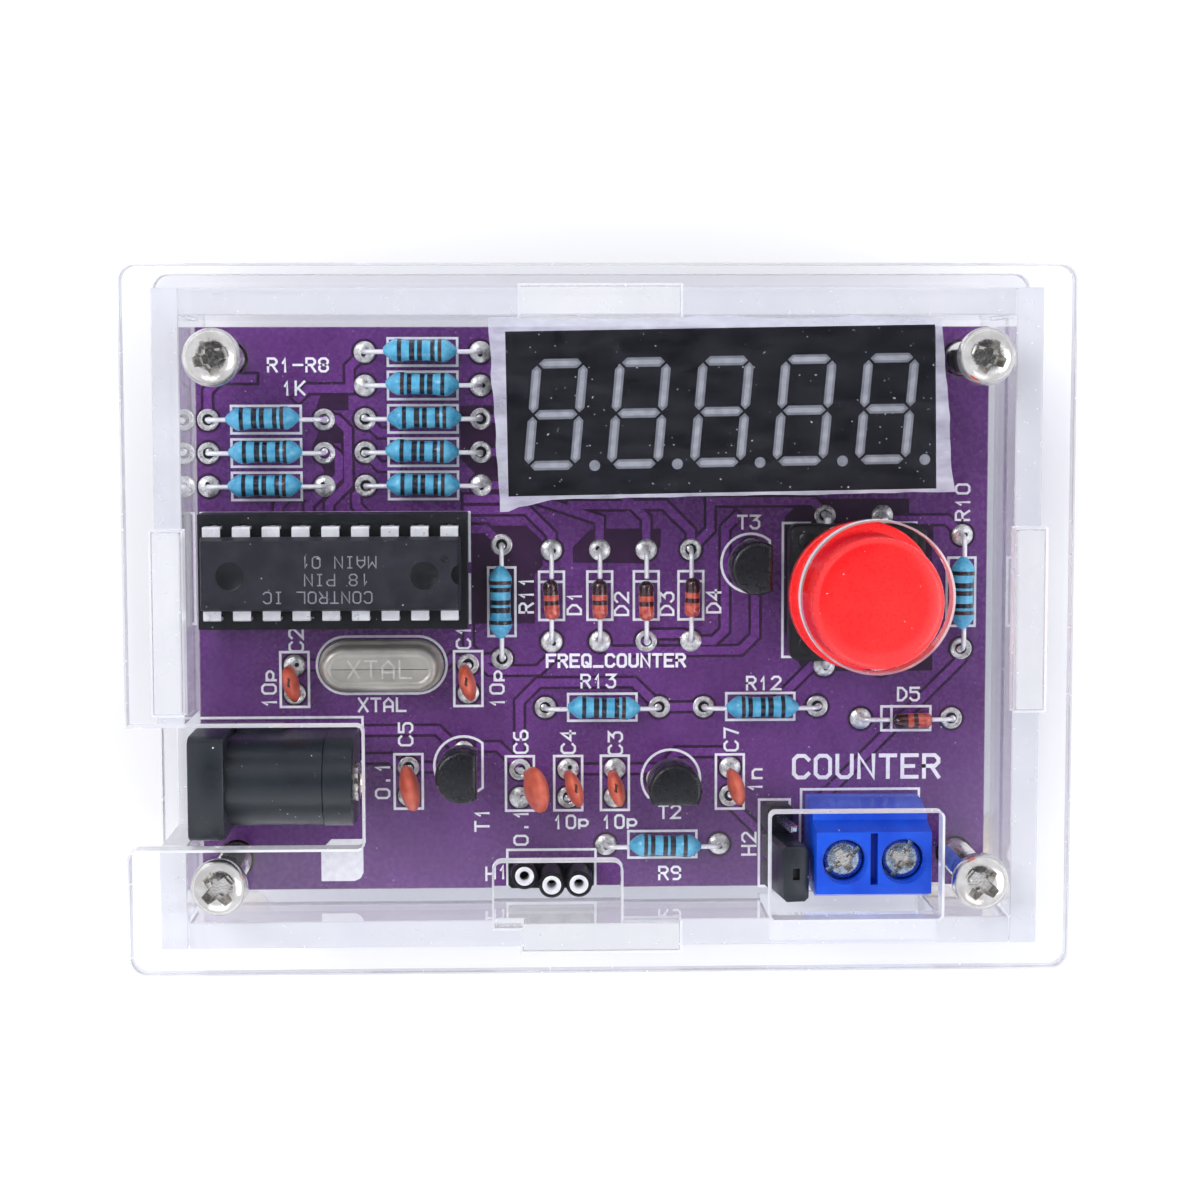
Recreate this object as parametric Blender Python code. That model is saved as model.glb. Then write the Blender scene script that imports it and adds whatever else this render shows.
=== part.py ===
"""Pocket frequency counter: a small purple circuit board with a five-digit
display, screwed between the panels of a clear box that tabs together.

Metres, +Z up.  The origin is the middle of the case on the surface it stands
on, +X runs along the display's digits and +Y points from the terminals to
the display.  Sizes below are in metres.
"""
import math

import bmesh
import bpy
from mathutils import Matrix, Vector

MM = 0.001
GAP = 0.2 * MM                 # air between pieces that rest on each other

# --- case -------------------------------------------------------------------
CASE_X = 80 * MM               # top and bottom panel
CASE_Y = 60 * MM
CORNER_R = 1.5 * MM
SHEET = 2.3 * MM               # thickness of every clear sheet
SLOT_PLAY = 0.1 * MM           # play of a tab on each side of its slot
SIDE_WALL_X = 36.35 * MM       # middle plane of the left and right walls
END_WALL_Y = 26.87 * MM        # middle plane of the front and back walls
SIDE_TAB = 15.2 * MM           # length of the side walls' tabs
END_TAB = 13.2 * MM            # length of the front and back walls' tabs
FINGER = 6 * MM                # height of the corner fingers

# --- stack, from the table up ----------------------------------------------
HEAD_H = 1.8 * MM              # screw heads
STANDOFF_H = 6 * MM
BOARD_T = 1.6 * MM
CLEAR_H = 10.2 * MM            # board top to the top panel's underside
BASE_Z = HEAD_H + GAP
BOARD_Z = BASE_Z + SHEET + STANDOFF_H + BOARD_T     # the board's top face
LID_Z = BOARD_Z + CLEAR_H                            # top panel's underside
LID_TOP = LID_Z + SHEET

# --- screws and standoffs ----------------------------------------------------
SCREW_X = 32.2 * MM
SCREW_Y = 22.2 * MM
HEAD_R = 2.45 * MM
HEAD_EDGE_R = 2.2 * MM         # where the head's dome turns over
HEAD_CROWN_R = 1.8 * MM
SHANK_R = 1.45 * MM
SHANK_CHAMFER = 0.4 * MM
SCREW_HOLE_R = 1.6 * MM
RECESS_ARM = 1.35 * MM         # half of the cross recess's length
RECESS_BLADE = 0.28 * MM       # half of its width
TOP_SCREW_L = 16 * MM
BASE_SCREW_L = 6 * MM
STANDOFF_R = 2.9 * MM          # across the hexagon's corners

# --- board -------------------------------------------------------------------
BOARD_X = 70 * MM
BOARD_Y = 50 * MM
BOARD_SHIFT = -0.2 * MM        # the board sits this far along X in the case
PITCH = 2.54 * MM              # between the pins of one part

# --- openings in the case, measured in the case ------------------------------
JACK_NOTCH_X = -20.2 * MM      # inner end of the notch in the top panel
JACK_NOTCH_Y = (-19.2 * MM, -8.8 * MM)
TERMINAL_WINDOW = (14.5 * MM, -25.6 * MM, 29.1 * MM, -16.45 * MM)
HEADER_WINDOW = (-9.1 * MM, -26.1 * MM, 1.7 * MM, -20.5 * MM)     # runs into the front slot
WIRE_WINDOW_TOP = 8.4 * MM     # above the board, in the front wall
OPENING_LOW = 0.5 * MM         # side openings start this far below the board's top
BUTTON_HOLE_R = 6.4 * MM
BUTTON_HOLE = (23.4 * MM, 1.95 * MM)

# --- parts on the board, measured from the board's centre ---------------------
SWITCH_AT = (23.1 * MM, 1.65 * MM)
SWITCH_SIDE = 12 * MM
SWITCH_BODY_H = 3.5 * MM
SWITCH_WELL_R = 3.5 * MM
SWITCH_WELL_DEPTH = 1.2 * MM
PLUNGER_R = 3.2 * MM
PLUNGER_LOW = 0.7 * MM         # the plunger's disc, below and above the switch's top
PLUNGER_HIGH = 0.3 * MM
PLUNGER_TOP = 7.3 * MM
STEM_HALF = 1.9 * MM           # half the plunger's square stem
CAP_R = 5.6 * MM
CAP_FLANGE_R = 6.5 * MM
CAP_FLANGE_H = 1.2 * MM
CAP_BASE = 5.2 * MM
CAP_TOP = 15 * MM
CAP_WALL = 1.1 * MM
CAP_ROOF = 1.6 * MM
CAP_RIM = 0.6 * MM             # rounding of the cap's top edge
SOCKET_WALL = 1.0 * MM         # around the stem, inside the cap

CHIP_AT = (-22.8 * MM, 3.79 * MM)
CHIP_PINS = 9                  # in each of the two rows
CHIP_ROW = 7.62 * MM
CHIP_BODY = (22.3 * MM, 6.4 * MM)
CHIP_Z = (5.1 * MM, 8.4 * MM)
CHIP_DRAFT = 0.3 * MM          # how far the chip's sides slope in
CHIP_NOTCH_R = 0.75 * MM
CHIP_NOTCH_DEPTH = 0.8 * MM
LEG_HALF = 0.13 * MM           # half a leg's thickness
LEG_WIDE_HALF = 0.25 * MM      # half its width
LEG_ROOT = 0.4 * MM            # how far a leg starts inside the chip
LEG_TIP = 2.6 * MM             # height of its tip above the board
SOCKET_BODY = (23.3 * MM, 10 * MM)
SOCKET_Z = (0.2 * MM, 4.5 * MM)
SOCKET_BAR = 3 * MM            # solid at each end of the socket's opening
SOCKET_OPEN_HALF = 2.3 * MM
CONTACT_X = 0.4 * MM           # half sizes of a contact's hole
CONTACT_Y = 0.35 * MM
CONTACT_LOW = 2.2 * MM

DISPLAY_AT = (10.67 * MM, 17.55 * MM)
DISPLAY_SIZE = (36.5 * MM, 14.1 * MM)
DISPLAY_LOW = 0.6 * MM
DISPLAY_TOP = 7.4 * MM
DISPLAY_TURN = math.radians(0.9)
FILM_AT = (10.63 * MM, 17.55 * MM)
FILM_SIZE = (38.6 * MM, 15.6 * MM)
FILM_T = 0.15 * MM
FILM_TURN = math.radians(0.5)

JACK_X = (-34.9 * MM, -20.8 * MM)
JACK_Y = -14.3 * MM
JACK_W = 9 * MM
JACK_H = 11 * MM
JACK_CHAMFER = 0.6 * MM
JACK_FLANGE = 3.1 * MM
JACK_ARCH_R = 3.9 * MM
JACK_ARCH_H = 6.4 * MM         # height of the arch's centre
JACK_AXIS_H = 6.5 * MM
JACK_BORE_R = 3.15 * MM
JACK_BORE_L = 9.5 * MM
JACK_PIN_R = 1 * MM
JACK_PIN_BACK = 1.4 * MM       # from the mouth to the pin's taper

TERMINAL_X = 23.8 * MM
TERMINAL_W = 10 * MM
TERMINAL_Y = (-24.3 * MM, -16.6 * MM)
TERMINAL_H = 10 * MM
TERMINAL_STEPS = ((0, 3.2 * MM), (-0.7 * MM, 7.2 * MM), (-1.3 * MM, 7.2 * MM), (-1.9 * MM, TERMINAL_H))
TERMINAL_NOSE = (0.4 * MM, 1.4 * MM)    # slope at the front, in depth and height
TERMINAL_SCREW_Y = -21.05 * MM
TERMINAL_PITCH = 5.08 * MM
WELL_R = 1.85 * MM             # around each terminal screw
WELL_LOW = 6.6 * MM
WAY_HALF = 2.0 * MM            # the wires' openings: half width, back, heights
WAY_BACK = 2.1 * MM
WAY_LOW = 0.9 * MM
WAY_HIGH = 6.8 * MM
# radius and height down each terminal screw
TERMINAL_SCREW = ((1.3 * MM, 9.0 * MM), (1.7 * MM, 8.7 * MM), (1.7 * MM, 7.6 * MM),
                  (1.25 * MM, 7.6 * MM), (1.25 * MM, 3.4 * MM))
SLOT_HALF = 0.25 * MM
SLOT_LOW = 8.3 * MM
CLAMP_HALF = 1.75 * MM
CLAMP_LOW = 1.1 * MM
CLAMP_HIGH = 5.2 * MM
CLAMP_WAY = (1.3 * MM, 1.6 * MM, 4.2 * MM)      # half width, and heights
CLAMP_THREAD_R = 1.42 * MM
CLAMP_THREAD_LOW = 3.4 * MM

PIN_HEADER_AT = (16.1 * MM, -21.08 * MM)
PIN_HEADER_LEAN = math.radians(7)
HEADER_HALF = 1.2 * MM
HEADER_Z = (0.4 * MM, 2.7 * MM)
PIN_HALF = 0.3 * MM
PIN_Z = (1.5 * MM, 8.4 * MM)
JUMPER_HALF = (1.15 * MM, 2.45 * MM)
JUMPER_Z = (2.9 * MM, 9.0 * MM)
JUMPER_PLAY = 0.15 * MM        # between a pin and its socket
JUMPER_ROOF = 8.6 * MM
SOCKET_STRIP_AT = (-3.95 * MM, -23.45 * MM)
STRIP_HALF = 1.2 * MM
STRIP_H = 2.8 * MM
COLLAR_R = 1.15 * MM
COLLAR_TOP = 7 * MM
COLLAR_HOLE_R = 0.45 * MM
COLLAR_HOLE_LOW = 4 * MM

RESISTOR_SPAN = 10.16 * MM
RESISTOR_L = 6.5 * MM
RESISTOR_R = 1.0 * MM
RESISTOR_END = 1.15            # how much wider than its middle a resistor's ends are
END_CAP_L = 1.15 * MM
LEAD_R = 0.27 * MM
LEAD_BEND = 0.7 * MM
BANK_PITCH = 2.93 * MM
CAPACITOR_FOOT = 1.27 * MM     # each lead from the middle
CAPACITOR_GAP = 1.5 * MM       # from the board to the disc
CAPACITOR_T = 0.8 * MM         # half the disc's thickness
DISC_FULLNESS = 0.7            # below 1, the disc's rim is blunter than an ellipse's
SMALL_DISC_R = 1.8 * MM
LARGE_DISC_R = 2.3 * MM
# name: x, y, disc radius, turn about Z and lean towards +X, in degrees
CAPACITORS = {
    "capacitor_1": (-11.24 * MM, -6.1 * MM, SMALL_DISC_R, 14, 0),
    "capacitor_2": (-26.62 * MM, -6.1 * MM, SMALL_DISC_R, 14, 0),
    "capacitor_3": (1.79 * MM, -15.55 * MM, SMALL_DISC_R, 14, 0),
    "capacitor_4": (-2.38 * MM, -15.55 * MM, SMALL_DISC_R, 16, 8),
    "capacitor_5": (-16.61 * MM, -15.3 * MM, LARGE_DISC_R, 10, 4),
    "capacitor_6": (-6.69 * MM, -15.55 * MM, LARGE_DISC_R, 8, 22),
    "capacitor_7": (12.09 * MM, -15.5 * MM, SMALL_DISC_R, 14, 5),
}
TRANSISTORS = {
    "transistor_1": (-11.7 * MM, -13.9 * MM, 0.0),
    "transistor_2": (6.8 * MM, -15.2 * MM, -90.0),
    "transistor_3": (13.9 * MM, 4.1 * MM, 0.0),
}
TRANSISTOR_R = 2.35 * MM
TRANSISTOR_FLAT = 1.3 * MM     # from the middle to the flat
TRANSISTOR_Z = (2.6 * MM, 7.2 * MM)
TRANSISTOR_LEAD = 0.22 * MM    # half a lead's width
TRANSISTOR_PITCH = 1.27 * MM
CRYSTAL_AT = (-18.9 * MM, -4.85 * MM)
CRYSTAL_RIM = (11.05 * MM, 4.65 * MM, 0.8 * MM)     # length, width, top
CRYSTAL_CAN = (10.2 * MM, 3.8 * MM, 3.7 * MM)

COLOURS = {
    "clear_acrylic": ((0.92, 0.95, 0.97, 1.0), 0.05, 0.0),
    "board_purple": ((0.16, 0.07, 0.22, 1.0), 0.4, 0.0),
    "nickel": ((0.72, 0.71, 0.68, 1.0), 0.25, 1.0),
    "brass": ((0.78, 0.6, 0.28, 1.0), 0.3, 1.0),
    "black_plastic": ((0.03, 0.03, 0.035, 1.0), 0.4, 0.0),
    "display_plastic": ((0.05, 0.055, 0.065, 1.0), 0.4, 0.0),
    "film": ((0.85, 0.87, 0.9, 1.0), 0.2, 0.0),
    "red_plastic": ((0.85, 0.05, 0.04, 1.0), 0.3, 0.0),
    "blue_plastic": ((0.03, 0.14, 0.6, 1.0), 0.35, 0.0),
    "resistor_blue": ((0.25, 0.55, 0.72, 1.0), 0.35, 0.0),
    "capacitor_ceramic": ((0.7, 0.36, 0.12, 1.0), 0.45, 0.0),
    "solder_tin": ((0.75, 0.76, 0.78, 1.0), 0.25, 1.0),
}


def clear_scene():
    for obj in list(bpy.data.objects):
        bpy.data.objects.remove(obj, do_unlink=True)


def material(name):
    """The named Principled material, made on first use."""
    made = bpy.data.materials.get(name)
    if made:
        return made
    colour, roughness, metallic = COLOURS[name]
    made = bpy.data.materials.new(name)
    made.use_nodes = True
    shader = made.node_tree.nodes["Principled BSDF"]
    shader.inputs["Base Color"].default_value = colour
    shader.inputs["Roughness"].default_value = roughness
    shader.inputs["Metallic"].default_value = metallic
    made.diffuse_color = colour
    return made


def make_object(name, mesh_builder, finish, parent=None):
    """An object from a bmesh, in the finish named, under its parent."""
    mesh = bpy.data.meshes.new(name)
    bmesh.ops.remove_doubles(mesh_builder, verts=mesh_builder.verts, dist=1e-7)
    bmesh.ops.recalc_face_normals(mesh_builder, faces=mesh_builder.faces)
    mesh_builder.to_mesh(mesh)
    mesh_builder.free()
    mesh.materials.append(material(finish))
    mesh.shade_smooth()
    mesh.set_sharp_from_angle(angle=math.radians(35))
    obj = bpy.data.objects.new(name, mesh)
    bpy.context.collection.objects.link(obj)
    obj.parent = parent
    return obj


def make_empty(name, location, parent=None):
    empty = bpy.data.objects.new(name, None)
    empty.location = location
    empty.parent = parent
    bpy.context.collection.objects.link(empty)
    return empty


def boolean(obj, helper, operation="DIFFERENCE"):
    """Cut a hidden helper from an object, or join it on."""
    helper.hide_render = True
    helper.display_type = "WIRE"
    modifier = obj.modifiers.new(operation.lower(), "BOOLEAN")
    modifier.operation = operation
    modifier.solver = "EXACT"
    modifier.object = helper
    return obj


# --- shapes added to a bmesh --------------------------------------------------
def add_prism(bm, outline, low, high, place=Matrix.Identity(4)):
    """A closed prism: an outline in XY, extruded from low to high along Z."""
    ring_low = [bm.verts.new(place @ Vector((x, y, low))) for x, y in outline]
    ring_high = [bm.verts.new(place @ Vector((x, y, high))) for x, y in outline]
    bm.faces.new(list(reversed(ring_low)))
    bm.faces.new(ring_high)
    for i in range(len(outline)):
        j = (i + 1) % len(outline)
        bm.faces.new((ring_low[i], ring_low[j], ring_high[j], ring_high[i]))


def add_box(bm, low, high, place=Matrix.Identity(4)):
    outline = [(low[0], low[1]), (high[0], low[1]), (high[0], high[1]), (low[0], high[1])]
    add_prism(bm, outline, low[2], high[2], place)


def add_lathe(bm, profile, sides, place=Matrix.Identity(4), turn=0.0):
    """A solid of revolution about Z: profile is (radius, z) from top to bottom."""
    rings = []
    for radius, z in profile:
        if radius == 0:
            rings.append([bm.verts.new(place @ Vector((0, 0, z)))])
            continue
        ring = []
        for i in range(sides):
            angle = turn + 2 * math.pi * i / sides
            point = Vector((radius * math.cos(angle), radius * math.sin(angle), z))
            ring.append(bm.verts.new(place @ point))
        rings.append(ring)
    for upper, lower in zip(rings, rings[1:]):
        for i in range(sides):
            j = (i + 1) % sides
            if len(upper) == 1:
                bm.faces.new((upper[0], lower[i], lower[j]))
            elif len(lower) == 1:
                bm.faces.new((upper[i], lower[0], upper[j]))
            else:
                bm.faces.new((upper[i], lower[i], lower[j], upper[j]))
    if len(rings[0]) > 1:
        bm.faces.new(rings[0])
    if len(rings[-1]) > 1:
        bm.faces.new(list(reversed(rings[-1])))


def add_sweep(bm, stations, sides, place=Matrix.Identity(4)):
    """A closed tube in the XZ plane through (x, z, radius) stations."""
    points = [Vector((x, 0, z)) for x, z, _ in stations]
    rings = []
    for i, (_, _, radius) in enumerate(stations):
        ahead = points[min(i + 1, len(points) - 1)] - points[i]
        behind = points[i] - points[max(i - 1, 0)]
        along = (ahead.normalized() + behind.normalized()).normalized()
        across = Vector((-along.z, 0, along.x))
        ring = []
        for k in range(sides):
            angle = 2 * math.pi * k / sides
            offset = across * math.cos(angle) * radius + Vector((0, 1, 0)) * math.sin(angle) * radius
            ring.append(bm.verts.new(place @ (points[i] + offset)))
        rings.append(ring)
    for first, second in zip(rings, rings[1:]):
        for k in range(sides):
            m = (k + 1) % sides
            bm.faces.new((first[k], first[m], second[m], second[k]))
    bm.faces.new(list(reversed(rings[0])))
    bm.faces.new(rings[-1])


def rectangle(x0, y0, x1, y1):
    return [(x0, y0), (x1, y0), (x1, y1), (x0, y1)]


def rounded_rectangle(width, depth, radius, steps=4):
    points = []
    for quarter, (sx, sy) in enumerate(((1, 1), (-1, 1), (-1, -1), (1, -1))):
        centre_x = sx * (width / 2 - radius)
        centre_y = sy * (depth / 2 - radius)
        for k in range(steps + 1):
            angle = math.pi / 2 * (quarter + k / steps)
            points.append((centre_x + radius * math.cos(angle), centre_y + radius * math.sin(angle)))
    return points


def on_board(x, y, turn=0.0):
    """Places a shape on the board's top, at x and y from the board's centre."""
    return Matrix.Translation((x + BOARD_SHIFT, y, BOARD_Z)) @ Matrix.Rotation(turn, 4, "Z")


def lie_along_x():
    """Turns a shape drawn in Y and Z, and extruded, to run along X."""
    return Matrix.Rotation(math.pi / 2, 4, "Z") @ Matrix.Rotation(math.pi / 2, 4, "X")


def screw_places():
    return [(sx * SCREW_X, sy * SCREW_Y) for sy in (1, -1) for sx in (-1, 1)]


# --- case ---------------------------------------------------------------------
def make_panel(name, low, is_lid, case):
    """The top or bottom panel, with its tab slots and screw holes."""
    bm = bmesh.new()
    add_prism(bm, rounded_rectangle(CASE_X, CASE_Y, CORNER_R), low, low + SHEET)
    panel = make_object(name, bm, "clear_acrylic", case)
    cut_low = low - MM
    cut_high = low + SHEET + MM
    half = SHEET / 2 + SLOT_PLAY
    bm = bmesh.new()
    for side in (-1, 1):
        x = side * SIDE_WALL_X
        long_y = SIDE_TAB / 2 + SLOT_PLAY
        add_box(bm, (x - half, -long_y, cut_low), (x + half, long_y, cut_high))
        y = side * END_WALL_Y
        long_x = END_TAB / 2 + SLOT_PLAY
        add_box(bm, (-long_x, y - half, cut_low), (long_x, y + half, cut_high))
    for x, y in screw_places():
        add_lathe(bm, [(SCREW_HOLE_R, cut_high), (SCREW_HOLE_R, cut_low)], 20, Matrix.Translation((x, y, 0)))
    if is_lid:
        x0, y0, x1, y1 = TERMINAL_WINDOW
        add_box(bm, (x0, y0, cut_low), (x1, y1, cut_high))
        add_box(bm, (-CASE_X, JACK_NOTCH_Y[0], cut_low), (JACK_NOTCH_X, JACK_NOTCH_Y[1], cut_high))
        place = Matrix.Translation((BUTTON_HOLE[0], BUTTON_HOLE[1], 0))
        add_lathe(bm, [(BUTTON_HOLE_R, cut_high), (BUTTON_HOLE_R, cut_low)], 40, place)
    boolean(panel, make_object(name + "_cutter", bm, "clear_acrylic", case))
    if is_lid:
        x0, y0, x1, y1 = HEADER_WINDOW
        bm = bmesh.new()
        add_box(bm, (x0, y0, cut_low), (x1, y1, cut_high))
        boolean(panel, make_object("header_window_cutter", bm, "clear_acrylic", case))


def wall_outline(length, tab, fingers):
    """Half-turn symmetric wall outline: tabs above and below, fingers at the
    ends (+1), or notches for them (-1)."""
    bottom = BASE_Z + SHEET + GAP / 2
    top = LID_Z - GAP / 2
    low = BASE_Z
    high = LID_TOP
    middle = (bottom + top) / 2
    half = length / 2
    reach = SHEET + SLOT_PLAY
    play = 0 if fingers > 0 else SLOT_PLAY
    step = reach - SLOT_PLAY if fingers > 0 else -reach
    finger_low = middle - FINGER / 2 - play
    finger_high = middle + FINGER / 2 + play
    right = [(half, bottom), (half, finger_low), (half + step, finger_low),
             (half + step, finger_high), (half, finger_high), (half, top)]
    left = [(-x, z) for x, z in reversed(right)]
    tab_top = [(tab / 2, top), (tab / 2, high), (-tab / 2, high), (-tab / 2, top)]
    tab_bottom = [(-tab / 2, bottom), (-tab / 2, low), (tab / 2, low), (tab / 2, bottom)]
    return right + tab_top + left + tab_bottom


def make_wall(name, along_x, side, case):
    """One wall: its outline is drawn in length and height, then stood up."""
    side_face = SIDE_WALL_X - SHEET / 2
    if along_x:
        length = 2 * (side_face - SLOT_PLAY)
        outline = wall_outline(length, END_TAB, 1)
        place = Matrix.Translation((0, side * END_WALL_Y, 0)) @ Matrix.Rotation(math.pi / 2, 4, "X")
    else:
        length = 2 * (END_WALL_Y + SHEET / 2)
        outline = wall_outline(length, SIDE_TAB, -1)
        place = Matrix.Translation((side * SIDE_WALL_X, 0, 0)) @ lie_along_x()
    bm = bmesh.new()
    add_prism(bm, outline, -SHEET / 2, SHEET / 2, place)
    return make_object(name, bm, "clear_acrylic", case)


def make_case(case):
    make_panel("bottom_panel", BASE_Z, False, case)
    make_panel("top_panel", LID_Z, True, case)
    make_wall("back_wall", True, 1, case)
    front = make_wall("front_wall", True, -1, case)
    left = make_wall("left_wall", False, -1, case)
    make_wall("right_wall", False, 1, case)

    bm = bmesh.new()
    add_box(bm, (TERMINAL_WINDOW[0], -END_WALL_Y - SHEET, BOARD_Z - OPENING_LOW),
            (TERMINAL_WINDOW[2], -END_WALL_Y + SHEET, BOARD_Z + WIRE_WINDOW_TOP))
    boolean(front, make_object("wire_window_cutter", bm, "clear_acrylic", case))
    bm = bmesh.new()
    add_box(bm, (-SIDE_WALL_X - SHEET, JACK_NOTCH_Y[0], BOARD_Z - OPENING_LOW),
            (-SIDE_WALL_X + SHEET, JACK_NOTCH_Y[1], LID_TOP))
    boolean(left, make_object("jack_notch_cutter", bm, "clear_acrylic", case))


def make_screw(name, x, y, seat, length, up, case):
    """A cross-recessed pan screw whose head rests at seat; up is +1 when the
    head is above its shank."""
    profile = [(HEAD_CROWN_R, HEAD_H), (HEAD_EDGE_R, 0.84 * HEAD_H), (HEAD_R, 0.5 * HEAD_H), (HEAD_R, 0),
               (SHANK_R, 0), (SHANK_R, -length + SHANK_CHAMFER), (SHANK_R - SHANK_CHAMFER, -length)]
    flip = Matrix.Identity(4) if up > 0 else Matrix.Rotation(math.pi, 4, "X")
    place = Matrix.Translation((x, y, seat)) @ flip
    bm = bmesh.new()
    add_lathe(bm, profile, 16, place)
    screw = make_object(name, bm, "nickel", case)
    arm = RECESS_ARM
    blade = RECESS_BLADE
    bm = bmesh.new()
    plus = [(arm, -blade), (arm, blade), (blade, blade), (blade, arm), (-blade, arm), (-blade, blade),
            (-arm, blade), (-arm, -blade), (-blade, -blade), (-blade, -arm), (blade, -arm), (blade, -blade)]
    add_prism(bm, plus, 0.35 * HEAD_H, 1.2 * HEAD_H, place)
    return boolean(screw, make_object(name + "_recess", bm, "nickel", case))


def make_fasteners(case):
    for number, (x, y) in enumerate(screw_places(), 1):
        make_screw(f"top_screw_{number}", x, y, LID_TOP + GAP, TOP_SCREW_L, 1, case)
        make_screw(f"base_screw_{number}", x, y, BASE_Z - GAP, BASE_SCREW_L - GAP, -1, case)
        low = BASE_Z + SHEET + GAP
        bm = bmesh.new()
        place = Matrix.Translation((x, y, 0))
        add_lathe(bm, [(STANDOFF_R, BOARD_Z - BOARD_T - GAP), (STANDOFF_R, low)], 6, place)
        standoff = make_object(f"standoff_{number}", bm, "brass", case)
        bm = bmesh.new()
        add_lathe(bm, [(SCREW_HOLE_R, BOARD_Z), (SCREW_HOLE_R, BASE_Z)], 16, place)
        boolean(standoff, make_object(f"standoff_{number}_bore", bm, "brass", case))


def make_board(case):
    bm = bmesh.new()
    place = Matrix.Translation((BOARD_SHIFT, 0, 0))
    add_prism(bm, rectangle(-BOARD_X / 2, -BOARD_Y / 2, BOARD_X / 2, BOARD_Y / 2),
              BOARD_Z - BOARD_T, BOARD_Z, place)
    board = make_object("circuit_board", bm, "board_purple", case)
    bm = bmesh.new()
    for x, y in screw_places():
        add_lathe(bm, [(SCREW_HOLE_R, BOARD_Z + MM), (SCREW_HOLE_R, BOARD_Z - BOARD_T - MM)], 20,
                  Matrix.Translation((x, y, 0)))
    return boolean(board, make_object("board_holes", bm, "board_purple", case))


# --- parts on the board ---------------------------------------------------------
def make_chip(case):
    """The chip in its socket."""
    place = on_board(*CHIP_AT)
    pin_x = [(i - (CHIP_PINS - 1) / 2) * PITCH for i in range(CHIP_PINS)]
    half_x = SOCKET_BODY[0] / 2
    half_y = SOCKET_BODY[1] / 2
    bm = bmesh.new()
    add_box(bm, (-half_x, -half_y, SOCKET_Z[0]), (half_x, half_y, SOCKET_Z[1]), place)
    socket = make_object("chip_socket", bm, "black_plastic", case)
    bm = bmesh.new()
    open_x = half_x - SOCKET_BAR
    clear = SOCKET_Z[1] + 1.5 * MM
    add_box(bm, (-open_x, -SOCKET_OPEN_HALF, -MM), (open_x, SOCKET_OPEN_HALF, clear), place)
    for x in pin_x:
        for side in (-1, 1):
            y = side * CHIP_ROW / 2
            low = (x - CONTACT_X, y - CONTACT_Y, CONTACT_LOW)
            add_box(bm, low, (x + CONTACT_X, y + CONTACT_Y, clear), place)
    boolean(socket, make_object("chip_socket_cutter", bm, "black_plastic", case))

    bm = bmesh.new()
    half_x = CHIP_BODY[0] / 2
    half_y = CHIP_BODY[1] / 2
    waist = (CHIP_Z[0] + CHIP_Z[1]) / 2
    top_y = half_y - CHIP_DRAFT
    side_profile = [(top_y, CHIP_Z[0]), (half_y, waist), (top_y, CHIP_Z[1]),
                    (-top_y, CHIP_Z[1]), (-half_y, waist), (-top_y, CHIP_Z[0])]
    stand = lie_along_x()
    add_prism(bm, side_profile, -half_x, half_x, place @ stand)
    chip = make_object("microcontroller", bm, "black_plastic", case)
    bm = bmesh.new()
    root = half_y - LEG_ROOT
    outer = CHIP_ROW / 2 + LEG_HALF
    inner = CHIP_ROW / 2 - LEG_HALF
    top = waist - LEG_HALF
    under = waist - 3 * LEG_HALF
    leg = [(root, top), (outer, top), (outer, LEG_TIP), (inner, LEG_TIP), (inner, under), (root, under)]
    for x in pin_x:
        for side in (-1, 1):
            outline = [(side * y, z) for y, z in leg]
            add_prism(bm, outline, x - LEG_WIDE_HALF, x + LEG_WIDE_HALF, place @ stand)
    boolean(chip, make_object("chip_legs", bm, "solder_tin", case), "UNION")
    bm = bmesh.new()
    add_lathe(bm, [(CHIP_NOTCH_R, CHIP_Z[1] + MM), (CHIP_NOTCH_R, CHIP_Z[1] - CHIP_NOTCH_DEPTH)], 12,
              place @ Matrix.Translation((half_x, 0, 0)))
    boolean(chip, make_object("chip_notch", bm, "black_plastic", case))


def make_display(case):
    place = on_board(*DISPLAY_AT, DISPLAY_TURN)
    half_x = DISPLAY_SIZE[0] / 2
    half_y = DISPLAY_SIZE[1] / 2
    bm = bmesh.new()
    add_box(bm, (-half_x, -half_y, DISPLAY_LOW), (half_x, half_y, DISPLAY_TOP), place)
    make_object("digit_display", bm, "display_plastic", case)
    place = on_board(*FILM_AT, FILM_TURN)
    half_x = FILM_SIZE[0] / 2
    half_y = FILM_SIZE[1] / 2
    bm = bmesh.new()
    low = DISPLAY_TOP + GAP / 2
    add_box(bm, (-half_x, -half_y, low), (half_x, half_y, low + FILM_T), place)
    make_object("display_film", bm, "film", case)


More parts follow.
